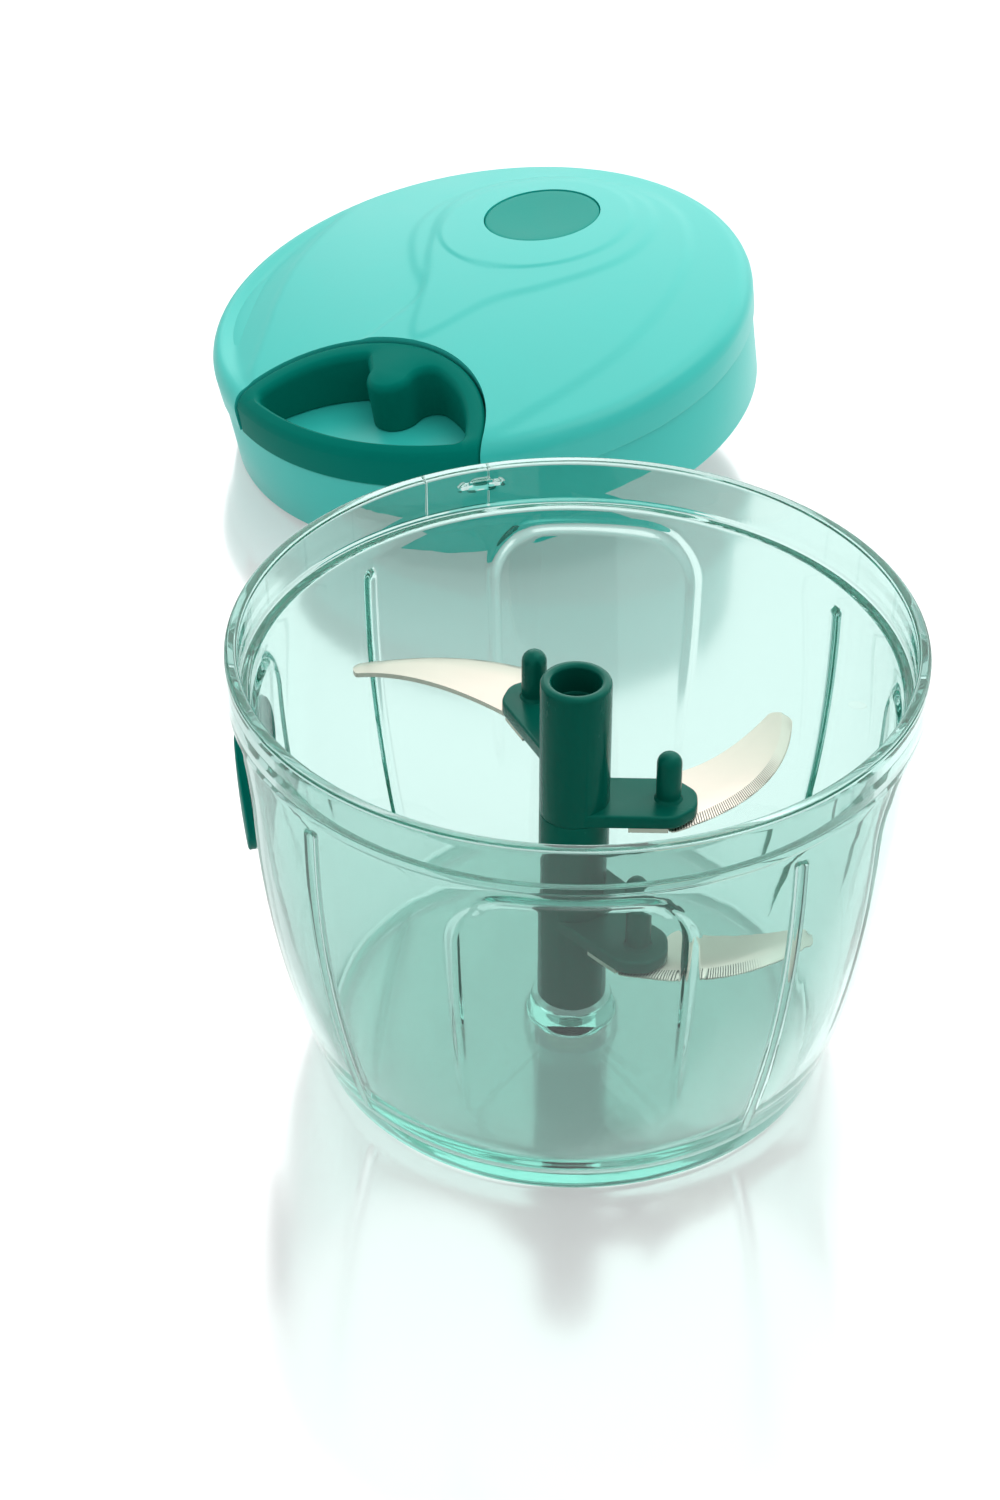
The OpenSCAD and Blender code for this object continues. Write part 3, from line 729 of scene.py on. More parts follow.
@dataclass
class Bowl:
    """Clear bowl with its rim band, sunk panels, ribs, locking lug and plain badge."""

    rim_r: float = 65.0
    height: float = 91.7
    band_h: float = 9.3
    band_t: float = 2.5
    band_step: float = 1.4
    wall_t: float = 3.0
    foot_r: float = 50.0
    belly_z: float = 75.0
    floor_t: float = 3.4
    boss_r: float = 8.0
    boss_h: float = 4.0
    pin_r: float = 3.0
    pin_gap: float = 0.03
    pin_depth: float = 1.5
    panel_w: float = 43.5
    panel_turns: tuple[float, ...] = (-9.0, 87.0, 182.0, 270.0)
    panel_top: float = 78.0
    panel_low: float = 20.0
    panel_fade: float = 26.0
    panel_corner: float = 11.0
    panel_depth: float = 1.1
    panel_edge: float = 2.6
    rib_w: float = 2.8
    rib_depth: float = 1.4
    rib_top: float = 77.0
    rib_turns: tuple[float, ...] = (33.5, 133.0, 221.5, 310.0)
    lug_w: float = 12.0
    lug_h: float = 2.3
    lug_out: float = 0.85
    lug_turn: float = 108.0
    seam_turns: tuple[float, ...] = (106.6, 118.5)
    seam_w: float = 0.5
    seam_out: float = 0.12
    columns: int = 400
    low_rows: int = 20
    high_rows: int = 38
    band_rows: int = 13
    rows_from: float = 3.0
    rows_split: float = 60.0
    rows_gap: float = 0.8
    inner_from: float = 6.0
    lip_round: float = 0.8
    floor_round: float = 4.5
    turn_steps: int = 3601
    usual_share: float = 0.55
    panel_side: float = 18.6
    wall_slack: float = 0.5
    lug_soft: float = 0.7
    badge_turn: float = 182.0
    badge_w: float = 34.0
    badge_h: float = 24.0
    badge_z: float = 61.0
    badge_root: float = 1.3
    badge_insets: tuple[Point, ...] = ((0.12, 0.28), (0.3, 0.16), (0.5, 0.06), (2.5, 0), (3, 0), (3, 0))

    @property
    def neck_z(self) -> float:
        """Height of the band's foot."""
        return self.height - self.band_h

    @property
    def neck_r(self) -> float:
        """Outer radius below the band."""
        return self.rim_r - self.band_step

    def wall_r(self, z: np.ndarray) -> np.ndarray:
        """Outer radius of the curved wall at a height."""
        deep = self.neck_r - self.foot_r
        bow = (self.belly_z ** 2 + deep ** 2) / (2 * deep)
        below = np.clip(self.belly_z - z, 0, self.belly_z)
        return self.neck_r - bow + np.sqrt(bow ** 2 - below ** 2)

    def profile(self) -> list[Point]:
        """Outline of the wall, from the middle of the base round to the middle of the floor."""
        low = spread(self.rows_from, self.rows_split, self.low_rows)
        high = spread(self.rows_split + self.rows_gap, self.neck_z - 3.2, self.high_rows)
        wall = [(float(self.wall_r(np.array(z))), z) for z in low + high]
        band = spread(self.neck_z + 1.2, self.height - 2 * self.lip_round, self.band_rows)
        inner = [(r - self.wall_t, z, 0.0) for r, z in reversed(wall) if z > self.floor_t + self.inner_from]
        foot = float(self.wall_r(np.array(0.0)))
        ledge = self.rim_r - self.band_t
        top = self.floor_t + self.boss_h
        hole = self.pin_r + self.pin_gap
        seat = self.floor_t - self.pin_depth
        return rounded(
            [(0, 0, 0), (foot, 0, 1.3)] + [(r, z, 0) for r, z in wall]
            + [(self.neck_r, self.neck_z - self.band_step, 0.9), (self.rim_r, self.neck_z, 0.5)]
            + [(self.rim_r, z, 0) for z in band]
            + [(self.rim_r, self.height, self.lip_round), (ledge, self.height, self.lip_round),
               (ledge, self.neck_z, 0.5), (self.neck_r - self.wall_t, self.neck_z, 0.9)]
            + inner
            + [(foot - self.wall_t + 0.3, self.floor_t, self.floor_round),
               (self.boss_r + 0.8, self.floor_t, 1.2),
               (self.boss_r, top, 0.7), (hole, top, 0), (hole, seat, 0), (0, seat, 0)], 5)

    @staticmethod
    def off_nearest(turn: np.ndarray, middles: Sequence[float]) -> np.ndarray:
        """Angle of each turn from the nearest of some middle ones, in degrees."""
        half = FULL_TURN / 2
        return np.min([np.abs((turn - middle + half) % FULL_TURN - half) for middle in middles], 0)

    def closer(self, turn: np.ndarray) -> np.ndarray:
        """Turns of evenly spaced columns, drawn together at the panels' edges, ribs, lug and seams."""
        fine = np.array(spread(0.0, FULL_TURN, self.turn_steps))
        wanted = np.full(fine.shape, self.usual_share)
        # Middle turns, angle of the feature from them, half its width in degrees, share of the columns
        for middles, aside, reach, share in ((self.panel_turns, self.panel_side, 2.4, 2.6),
                                             ((self.lug_turn,), 0.0, 5.6, 2.6),
                                             (self.rib_turns, 0.0, 2.2, 3.4),
                                             (self.seam_turns, 0.0, 0.3, 14.0)):
            wanted[np.abs(self.off_nearest(fine, middles) - aside) < reach] = share
        count = np.cumsum(wanted)
        return np.interp(turn % FULL_TURN, count / count[-1] * FULL_TURN, fine)

    def relief(self, places: np.ndarray) -> np.ndarray:
        """Sinks the panels, and raises the ribs, the lug and the seams."""
        x, y, z = places.T
        radius = np.hypot(x, y)
        turn = self.closer(np.degrees(np.arctan2(y, x)))

        def beside(middles: Sequence[float], at: np.ndarray | float) -> np.ndarray:
            """Distance round the wall from the nearest of some turns."""
            return np.radians(self.off_nearest(turn, middles)) * at

        wall = self.wall_r(z)
        below = z < self.neck_z - 1
        outer = below & (np.abs(radius - wall) < self.wall_slack)
        inner = below & (np.abs(radius - wall + self.wall_t) < self.wall_slack) & (z > self.floor_t + 1)
        band = np.abs(radius - self.rim_r) < 0.1
        over_x = beside(self.panel_turns, self.neck_r) - (self.panel_w / 2 - self.panel_corner)
        over_z = z - (self.panel_top - self.panel_corner)
        edge = np.hypot(np.maximum(over_x, 0), np.maximum(over_z, 0))
        edge += np.minimum(np.maximum(over_x, over_z), 0)
        deep = ease((self.panel_corner - edge) / self.panel_edge + 0.5)
        sunk = deep * ease((z - self.panel_low) / self.panel_fade)
        end = np.maximum(z - (self.rib_top - self.rib_w / 2), 0)
        bead = 1 - (np.hypot(beside(self.rib_turns, radius), end) / (self.rib_w / 2)) ** 2
        rib = self.rib_depth * np.sqrt(np.clip(bead, 0, 1))
        lens = self.lug_h / 2 * (1 - (2 * beside((self.lug_turn,), self.rim_r) / self.lug_w) ** 2)
        lug = ease((lens - np.abs(z - (self.height - self.band_h / 2))) / self.lug_soft) * band
        seam = ease(1 - 2 * beside(self.seam_turns, self.rim_r) / self.seam_w) * band * (1 - lug)
        new = radius - self.panel_depth * sunk * (outer | inner) - rib * inner
        new += self.lug_out * lug + self.seam_out * seam
        return np.stack([new * np.cos(np.radians(turn)), new * np.sin(np.radians(turn)), z], 1)

    def badge(self) -> BMesh:
        """Plain pill-shaped badge that follows the wall."""
        half = (self.badge_w - self.badge_h) / 2
        end = self.badge_h / 2
        loop = arc((half, 0), end, -90, 90, 24) + arc((-half, 0), end, 90, 270, 24)
        bm = bmesh.new()
        face = bmesh.ops.contextual_create(bm, geom=[bm.verts.new((*p, 0)) for p in loop])["faces"]
        low = list(bm.edges)
        for inset, rise in self.badge_insets:
            bmesh.ops.inset_region(bm, faces=face, thickness=inset, depth=rise, use_boundary=True,
                                   use_even_offset=True)
        skirt = bmesh.ops.extrude_edge_only(bm, edges=low)["geom"]
        bmesh.ops.translate(bm, verts=only(skirt, BMVert), vec=(0, 0, -self.badge_root))
        bmesh.ops.recalc_face_normals(bm, faces=bm.faces)

        def wrap(places: np.ndarray) -> np.ndarray:
            """Bends the flat badge round the wall."""
            z = self.badge_z + places[:, 1]
            radius = self.wall_r(z) + places[:, 2]
            turn = math.radians(self.badge_turn) + places[:, 0] / self.neck_r
            return np.stack([radius * np.cos(turn), radius * np.sin(turn), z], 1)

        return tidy(move_points(bm, wrap))

    def build(self) -> None:
        """Makes the bowl and its badge, and dresses the pin."""
        wall = move_points(lathe(self.profile(), self.columns // 4), self.relief)
        bmesh.ops.recalc_face_normals(wall, faces=wall.faces)
        Piece("bowl_wall", wall, [CLEAR], Body.BOWL, Slot.CLEAR, ["bowl"]).add()
        Piece("plain_badge", self.badge(), [GREEN], Body.BOWL, Slot.GREEN, ["side_badge"]).add()
        dress("pivot_pin", STEEL)


# Blade set

@dataclass(frozen=True)
class Arm:
    """One arm of the blade set with its blade and peg."""

    name: str
    height: float
    turn: float
    reach: float
    sweep: float
    shift: float
    outer: Point
    inner: Point


@dataclass
class BladeSet:
    """Stem in two halves, with arms, curved blades and pegs."""

    stem_r: float = 6.8
    stem_top: float = 82.0
    stem_low: float = 7.7
    split_z: float = 52.1
    mouth_r: float = 4.7
    mouth_h: float = 6.0
    socket_r: float = 4.35
    socket_h: float = 14.0
    arm_w: float = 13.0
    arm_t: float = 2.9
    arm_reach: float = 23.5
    arm_cut: float = 4.0
    arm_edge: float = 0.55
    hole_r: float = 3.5
    bore_wall: float = 2.0
    bore_h: float = 14.0
    peg_in: float = 5.6
    peg_r: float = 2.45
    peg_h: float = 10.5
    peg_foot: float = 0.35
    peg_foot_h: float = 0.7
    peg_round: float = 0.96
    head_h: float = 1.2
    blade_t: float = 1.0
    blade_root: float = 18.0
    tang_gap: float = 3.5
    tang_w: float = 12.2
    grind: float = 2.2
    tooth: float = 0.32
    edge_t: float = 0.2
    edge_wave: float = 0.16
    heel_turn: float = 3.6
    heel_reach: float = 0.95
    columns: int = 162
    rows: int = 4
    end_r: float = 1.7
    end_steps: int = 6
    arms: tuple[Arm, ...] = (
        Arm("upper", 67.0, 117.0, 54.0, 28.0, -3.8, (0.792, -0.079), (0.741, 0.259)),
        Arm("middle", 55.0, 0.0, 54.0, 37.0, 2.5, (0.787, 0.102), (0.523, 0.269)),
        Arm("lower", 30.0, 315.0, 48.0, 37.0, 2.5, (0.787, 0.102), (0.523, 0.269)),
    )

    def arm(self, arm: Arm) -> BMesh:
        """Flat arm with a rounded end and rounded edges."""
        half = self.arm_w / 2
        reach, cut = self.arm_reach, self.arm_cut
        loop = rounded([(0, -half, 0), (reach - cut, -half, 5), (reach, cut - half, 4),
                        (reach, half - cut, 4), (reach - cut, half, 5), (0, half, 0)], 5)
        bm = prism(loop, arm.height - self.arm_t, arm.height)
        soften(bm, [e for e in sharp_edges(bm, 20) if max(v.co.x for v in e.verts) > 1], self.arm_edge)
        return put(bm, Matrix.Rotation(math.radians(arm.turn), 4, "Z"))

    def upper_stem(self) -> BMesh:
        """Upper half of the stem, with its round mouth and six-sided socket."""
        ledge = self.stem_top - self.mouth_h
        foot = ledge - self.socket_h
        profile = rounded([(0, self.split_z, 0), (self.stem_r, self.split_z, 0.25),
                           (self.stem_r, self.stem_top, 1.0), (self.mouth_r, self.stem_top, 0.9),
                           (self.mouth_r, ledge, 0.2), (self.socket_r, ledge, 0),
                           (self.socket_r, foot, 0), (0, foot, 0)], 5)
        bm = lathe(profile, 24)

        def six_sided(places: np.ndarray) -> np.ndarray:
            """Flattens the socket's wall to six sides."""
            x, y, z = places.T
            radius = np.hypot(x, y)
            turn = np.degrees(np.arctan2(y, x)) % 60 - 30
            flat = np.cos(math.radians(30)) / np.cos(np.radians(turn))
            hex_wall = (np.abs(radius - self.socket_r) < 0.01) & (z < ledge + 0.01) & (z > foot - 0.01)
            scale = np.where(hex_wall, flat, 1)
            return np.stack([x * scale, y * scale, z], 1)

        return move_points(bm, six_sided)

    def lower_stem(self) -> BMesh:
        """Lower half of the stem."""
        bore, top = self.stem_r - self.bore_wall, self.stem_low + self.bore_h
        profile = rounded([(bore, self.stem_low, 0), (self.stem_r, self.stem_low, 0.5),
                           (self.stem_r, self.split_z, 0.25), (0, self.split_z, 0), (0, top, 0),
                           (bore, top, 0), (bore, self.stem_low, 0)], 4)
        return lathe(profile, 24)

    def peg(self, arm: Arm) -> BMesh:
        """Round-topped peg that locks a blade to its arm."""
        low = arm.height - self.arm_t - self.blade_t
        top = arm.height + self.peg_h
        head = self.peg_r + self.head_h
        profile = rounded([(0, low - self.head_h, 0), (head, low - self.head_h, 0.5), (head, low, 0.2),
                           (self.peg_r, low, 0), (self.peg_r, arm.height, 0),
                           (self.peg_r + self.peg_foot, arm.height, 0),
                           (self.peg_r, arm.height + self.peg_foot_h, 0.4),
                           (self.peg_r, top, self.peg_r * self.peg_round), (0, top, 0)], 6)
        bm = lathe(profile, 12)
        x, y = turned(arm.turn, self.arm_reach - self.peg_in)
        bmesh.ops.translate(bm, verts=bm.verts, vec=(x, y, 0))
        return bm

    def blade(self, arm: Arm) -> BMesh:
        """Curved blade with its tang, rounded ends and a ground, finely toothed outer edge."""
        bm = bmesh.new()
        bmesh.ops.create_grid(bm, x_segments=self.columns, y_segments=self.rows, size=1)
        row_of = bm.verts.layers.int.new("row")
        column_of = bm.verts.layers.int.new("column")
        along = bm.loops.layers.uv.new("along")
        for vert in bm.verts:
            vert[row_of] = round((vert.co.y + 1) / 2 * self.rows)
            vert[column_of] = round((vert.co.x + 1) / 2 * self.columns)
        root = self.arm_reach - self.peg_in
        low, high = arm.shift - self.blade_root / 2, arm.shift + self.blade_root / 2
        end = self.end_r / arm.reach
        close = [end * (i / self.end_steps) ** 2 for i in range(self.end_steps)]
        shares = close + spread(end, 1 - end, self.columns + 1 - 2 * self.end_steps)
        shares += [1 - share for share in reversed(close)]
        tip = np.array(turned(arm.sweep, arm.reach))
        heel = np.array(turned(arm.sweep + self.heel_turn, arm.reach * self.heel_reach))

        def curve(t: np.ndarray, first: Point, pull: Point, last: np.ndarray) -> np.ndarray:
            """Curved side from the root to the end of the blade."""
            middle = arm.reach * np.array(pull)
            return (1 - t) ** 2 * np.array(first) + 2 * t * (1 - t) * middle + t * t * last

        def lay_out(places: np.ndarray) -> np.ndarray:
            """Lays the flat grid out between the two sides of the blade."""
            column = np.rint((places[:, :1] + 1) / 2 * self.columns)
            row = np.rint((places[:, 1:2] + 1) / 2 * self.rows)
            t = np.array(shares)[column.astype(int)]
            edge = curve(t, (root, low), arm.outer, tip)
            back = curve(t, (root, high), arm.inner, heel)
            width = np.linalg.norm(back - edge, axis=1, keepdims=True)
            inward = (back - edge) / width
            short = np.clip(self.end_r - np.minimum(t, 1 - t) * arm.reach, 0, self.end_r)
            round_off = self.end_r - np.sqrt(self.end_r ** 2 - short ** 2)
            bite = self.tooth * (column % 2) * (t > 0.1) * (t < 0.9)
            flat = self.grind + (width - self.grind) * (row - 1) / (self.rows - 1)
            offset = np.clip(np.where(row == 0, bite, flat), round_off, width - round_off)
            return np.concatenate([edge + inward * offset, np.zeros_like(t)], 1)

        move_points(bm, lay_out)
        for face in bm.faces:
            for loop in face.loops:
                loop[along].uv = (shares[loop.vert[column_of]] * arm.reach, loop.vert[row_of] / self.rows)
        inner, side = self.stem_r + self.tang_gap, self.tang_w / 2
        tang = [bm.verts.new((*p, 0)) for p in ((inner, -side), (root, -side), (root, side), (inner, side))]
        for vert in tang:
            vert[row_of] = 1
        bmesh.ops.contextual_create(bm, geom=tang)
        made = bmesh.ops.extrude_face_region(bm, geom=list(bm.faces), use_keep_orig=True)["geom"]
        for vert in only(made, BMVert):
            ground = vert[row_of] == 0
            vert.co.z = self.edge_t + self.edge_wave * (vert[column_of] % 2) if ground else self.blade_t
        bmesh.ops.recalc_face_normals(bm, faces=bm.faces)
        for face in bm.faces:
            rows = {vert[row_of] for vert in face.verts}
            face.material_index = int(rows == {0, 1} and face.normal.z > 0.2)
        return put(bm, Matrix.Translation((0, 0, arm.height - self.arm_t - self.blade_t))
                   @ Matrix.Rotation(math.radians(arm.turn), 4, "Z"))

    def build(self) -> None:
        """Makes the stem, arms, blades and pegs."""
        upper, lower = self.upper_stem(), self.lower_stem()
        for arm in self.arms[:2]:
            bored = combine(self.arm(arm), disc(self.mouth_r + 1, 0, self.stem_top), Cut.CARVE)
            upper = combine(upper, bored, Cut.JOIN)
        bored = combine(self.arm(self.arms[2]), disc(self.hole_r, 0, self.split_z), Cut.CARVE)
        lower = combine(lower, bored, Cut.JOIN)
        Piece("upper_stem", upper, [STEM], Body.BLADES, Slot.GREEN, ["stem_upper"]).add()
        Piece("lower_stem", lower, [STEM], Body.BLADES, Slot.GREEN, ["stem_lower"]).add()
        dress("pivot_bush", BRASS)
        for arm in self.arms:
            flat = Metal(f"{arm.name}_blade_steel", (0.74, 0.645, 0.57), (0.68, 0.59, 0.525), 0.42,
                         turn=arm.turn + arm.sweep / 2).build()
            # the near-black second colour is painted shade for the grooves between the teeth
            ground = GroundEdge(f"{arm.name}_ground_edge", (0.70, 0.63, 0.56), (0.11, 0.10, 0.09),
                                arm.reach * 0.72).build()
            Piece(f"blade_{arm.name}", self.blade(arm), [flat, ground], Body.BLADES, Slot.BLADE,
                  [f"{arm.name}_blade"]).add()
            Piece(f"peg_{arm.name}", self.peg(arm), [STEM], Body.BLADES, Slot.GREEN,
                  [f"{arm.name}_peg"]).add()


# Lid

def lid_place() -> Matrix:
    """Place and lean of the lid, from the reel's axis and the handle's pull."""
    joints = {joint["name"]: joint for joint in frame["joints"]}
    axis = Vector(joints["reel_spin"]["axis"])
    pull = Vector(joints["handle_pull"]["axis"])
    lean_turn = math.atan2(axis.y, axis.x)
    lean = math.acos(axis.z / axis.length)
    grip_turn = math.atan2(pull.y, pull.x)
    return (Matrix.Translation(joints["reel_spin"]["pos_m"]) @ Matrix.Rotation(lean_turn, 4, "Z")
            @ Matrix.Rotation(lean, 4, "Y") @ Matrix.Rotation(grip_turn - lean_turn, 4, "Z"))


@dataclass
class Lid:
    """Domed top shell with its raised lines, the skirt below it and the round cap."""

    skirt_in: float = 66.1
    skirt_r: float = 67.5
    skirt_h: float = 18.8
    base_t: float = 1.8
    lid_r: float = 69.0
    side_h: float = 29.5
    lid_h: float = 35.0
    shoulder_r: float = 5.0
    shell_t: float = 2.2
    draft: float = 0.3
    step: float = 0.6
    arc_end: float = 75.0
    collar_r: float = 9.0
    collar_h: float = 8.2
    bush_r: float = 5.8
    cap_r: float = 15.0
    cap_off: float = 33.0
    cap_h: float = 2.0
    cap_sink: float = 1.2
    cap_fit: float = 0.12
    cap_edge: float = 1.4
    dish_r: float = 12.5
    dish_from: float = 12.0
    dish_depth: float = 0.25
    skin_rows: int = 58
    inner_rows: int = 24
    columns: int = 80
    grip_c: float = 66.0
    pocket_r: float = 36.9
    pocket_t: float = 1.8
    over_all: float = 60.0
    cord_z: float = 22.1
    eye_r: float = 2.2
    place: Matrix = field(default_factory=lid_place)
    ring_c: float = -30.0
    ring_r: float = 25.0
    drop_side: tuple[Point, ...] = (
        (28, 0), (9, 10), (-1, 19), (-12, 27), (-23, 31.3), (-35, 31), (-45, 26.5), (-52, 19), (-56, 9))
    drop_tip: Point = (-57.5, 0)
    sweep_side: tuple[Point, ...] = (
        (72, 32), (58, 36), (46, 40), (31, 46), (14, 50), (-6, 50.2), (-24.5, 46.5), (-38, 40.5),
        (-49, 31.5), (-56, 20), (-58.5, 7), (-58, -6), (-52, -18), (-39, -27), (-26, -27), (-10, -20),
        (10, -10), (28, -12), (60, -20))
    wing_side: tuple[Point, ...] = (
        (62, -33), (47, -38), (34, -43), (21, -48.5), (4, -54.5), (-10, -57), (-24, -58), (-37, -57),
        (-50, -54), (-60, -70), (0, -90), (70, -70))
    wing_slope: float = 0.25
    wing_reach: float = 14.0
    wing_step: float = 0.4
    rim_fade: float = 6.5

    def join_r(self, off: float) -> float:
        """Radius at which the dome meets the shoulder."""
        across = (self.shoulder_r - off) * math.cos(math.radians(self.arc_end))
        return self.lid_r - self.shoulder_r + across

    def join_z(self, off: float) -> float:
        """Height at which the dome meets the shoulder."""
        rise = (self.shoulder_r - off) * math.sin(math.radians(self.arc_end))
        return self.side_h - self.shoulder_r + rise

    def dome_z(self, r: float, off: float = 0.0) -> float:
        """Height of the dome at a radius, some way under the outer skin."""
        foot = self.join_z(off)
        return foot + (self.lid_h - off - foot) * (1 - (r / self.join_r(off)) ** 2)

    def surface_z(self, r: np.ndarray, off: float = 0.0) -> np.ndarray:
        """Height of the dome and its shoulder at each radius."""
        out = np.clip(r - (self.lid_r - self.shoulder_r), 0, self.shoulder_r - off)
        shoulder = self.side_h - self.shoulder_r + np.sqrt((self.shoulder_r - off) ** 2 - out ** 2)
        return np.where(r < self.join_r(off), self.dome_z(r, off), shoulder)

    def skin(self, off: float, count: int) -> list[Point]:
        """Outline of the dome and shoulder from the axis outwards."""
        dome = [(r, self.dome_z(r, off)) for r in spread(0.0, self.join_r(off), count)]
        shoulder = arc((self.lid_r - self.shoulder_r, self.side_h - self.shoulder_r), self.shoulder_r - off,
                       self.arc_end, 0, 8)
        return dome + shoulder[1:]

    def relief(self, places: np.ndarray) -> np.ndarray:
        """Raises the ring, the drop and the sweeping line on the dome, and slopes the wing."""
        flat = places[:, :2]
        radius = np.hypot(*flat.T)
        skin = places[:, 2] > self.surface_z(radius) - 0.5
        ring = self.ring_r - np.hypot(flat[:, 0] - self.ring_c, flat[:, 1])
        mirrored = tuple((x, -y) for x, y in reversed(self.drop_side[1:]))
        drop = depth_inside(flat, smooth_loop(self.drop_side + (self.drop_tip,) + mirrored))
        sweep = depth_inside(flat, smooth_loop(self.sweep_side))
        wing = depth_inside(flat, smooth_loop(self.wing_side))
        rise = -self.wing_slope * np.clip(wing, 0, self.wing_reach)
        for depth, height, width in ((ring, 0.34, 1.6), (drop, 0.42, 2.6), (sweep, 0.55, 2.4),
                                     (wing, -self.wing_step, 1.5)):
            rise += height * ease(depth / width + 0.5)
        edge = ease((self.lid_r - 1.0 - radius) / self.rim_fade)
        moved = places.copy()
        moved[:, 2] += np.where(skin, rise * edge, 0)
        return moved

    def cap_seat(self) -> Matrix:
        """Place of the cap on the dome."""
        slope = 2 * (self.lid_h - self.join_z(0)) * self.cap_off / self.join_r(0) ** 2
        return (Matrix.Translation((-self.cap_off, 0, self.dome_z(self.cap_off)))
                @ Matrix.Rotation(-math.atan(slope), 4, "Y"))

    def shell(self) -> BMesh:
        """Top shell with the handle's pocket and the cap's seat."""
        outer = self.skin(0.0, self.skin_rows)
        inner = self.skin(self.shell_t, self.inner_rows)
        foot = self.lid_r - self.draft
        profile = outer + rounded([(self.lid_r, self.side_h - self.shoulder_r - 0.1, 0),
                                   (foot, self.skirt_h, 0.35), (foot - self.shell_t, self.skirt_h, 0),
                                   (foot - self.shell_t, self.skirt_h + 1, 0)]) + inner[::-1]
        bm = move_points(lathe(profile, self.columns), self.relief)
        wall = disc(self.pocket_r + self.pocket_t, self.skirt_h, self.over_all, (self.grip_c, 0))
        core = lathe([(0, self.skirt_h), (foot - self.shell_t / 2, self.skirt_h)]
                     + self.skin(self.shell_t / 2, self.inner_rows)[::-1], self.columns // 2)
        bm = combine(bm, combine(wall, core, Cut.KEEP), Cut.JOIN)
        pocket = disc(self.pocket_r, self.skirt_h - 1, self.over_all, (self.grip_c, 0))
        bm = combine(bm, pocket, Cut.CARVE)
        across = (Matrix.Translation((self.grip_c - self.pocket_r - 1, 0, self.cord_z))
                  @ Matrix.Rotation(math.radians(90), 4, "Y"))
        bm = combine(bm, put(disc(self.eye_r, -6, 6, sides=32), across), Cut.CARVE)
        seat = disc(self.cap_r + self.cap_fit, -self.cap_sink, 8)
        return combine(bm, put(seat, self.cap_seat()), Cut.CARVE)

    def base(self) -> BMesh:
        """Skirt, floor and bearing collar under the shell."""
        floor = self.skirt_h - self.base_t
        top, low = self.skirt_h, self.skirt_h - self.collar_h
        profile = rounded([(self.bush_r, top, 0), (self.lid_r - self.draft - self.step, top, 0.5),
                           (self.skirt_r, 0, 0.6), (self.skirt_in, 0, 0.5), (self.skirt_in, floor, 0.8),
                           (self.collar_r, floor, 1.2), (self.collar_r, low, 0.5), (self.bush_r, low, 0),
                           (self.bush_r, top, 0)])
        return lathe(profile, 48)

    def cap(self) -> BMesh:
        """Round cap with a soft edge and a shallow dish."""
        top = self.cap_h - self.cap_sink
        dish = [(r, top - self.dish_depth * (1 - (r / self.dish_r) ** 2), 0)
                for r in spread(self.dish_from, 0.0, 9)]
        profile = rounded([(0, -self.cap_sink, 0), (self.cap_r, -self.cap_sink, 0), (self.cap_r, top, 0.6),
                           (self.cap_r - self.cap_edge, top, 0.5)] + dish)
        return put(lathe(profile), self.cap_seat())

    def build(self) -> None:
        """Makes the shell, skirt and cap, and dresses the screws, bush and eyelet."""
        for name, bm, finish, slot, node in (("lid_top", self.shell(), AQUA, Slot.AQUA, "lid_shell"),
                                             ("lid_skirt", self.base(), AQUA, Slot.AQUA, "lid_base"),
                                             ("round_cap", self.cap(), CAP, Slot.CAP, "top_cap")):
            Piece(name, bm, [finish], Body.LID, slot, [node], self.place).add()
        for node in ("lid_screws", "recoil_spring"):
            dress(node, STEEL)
        for node in ("spindle_bush", "cord_eyelet"):
            dress(node, BRASS)


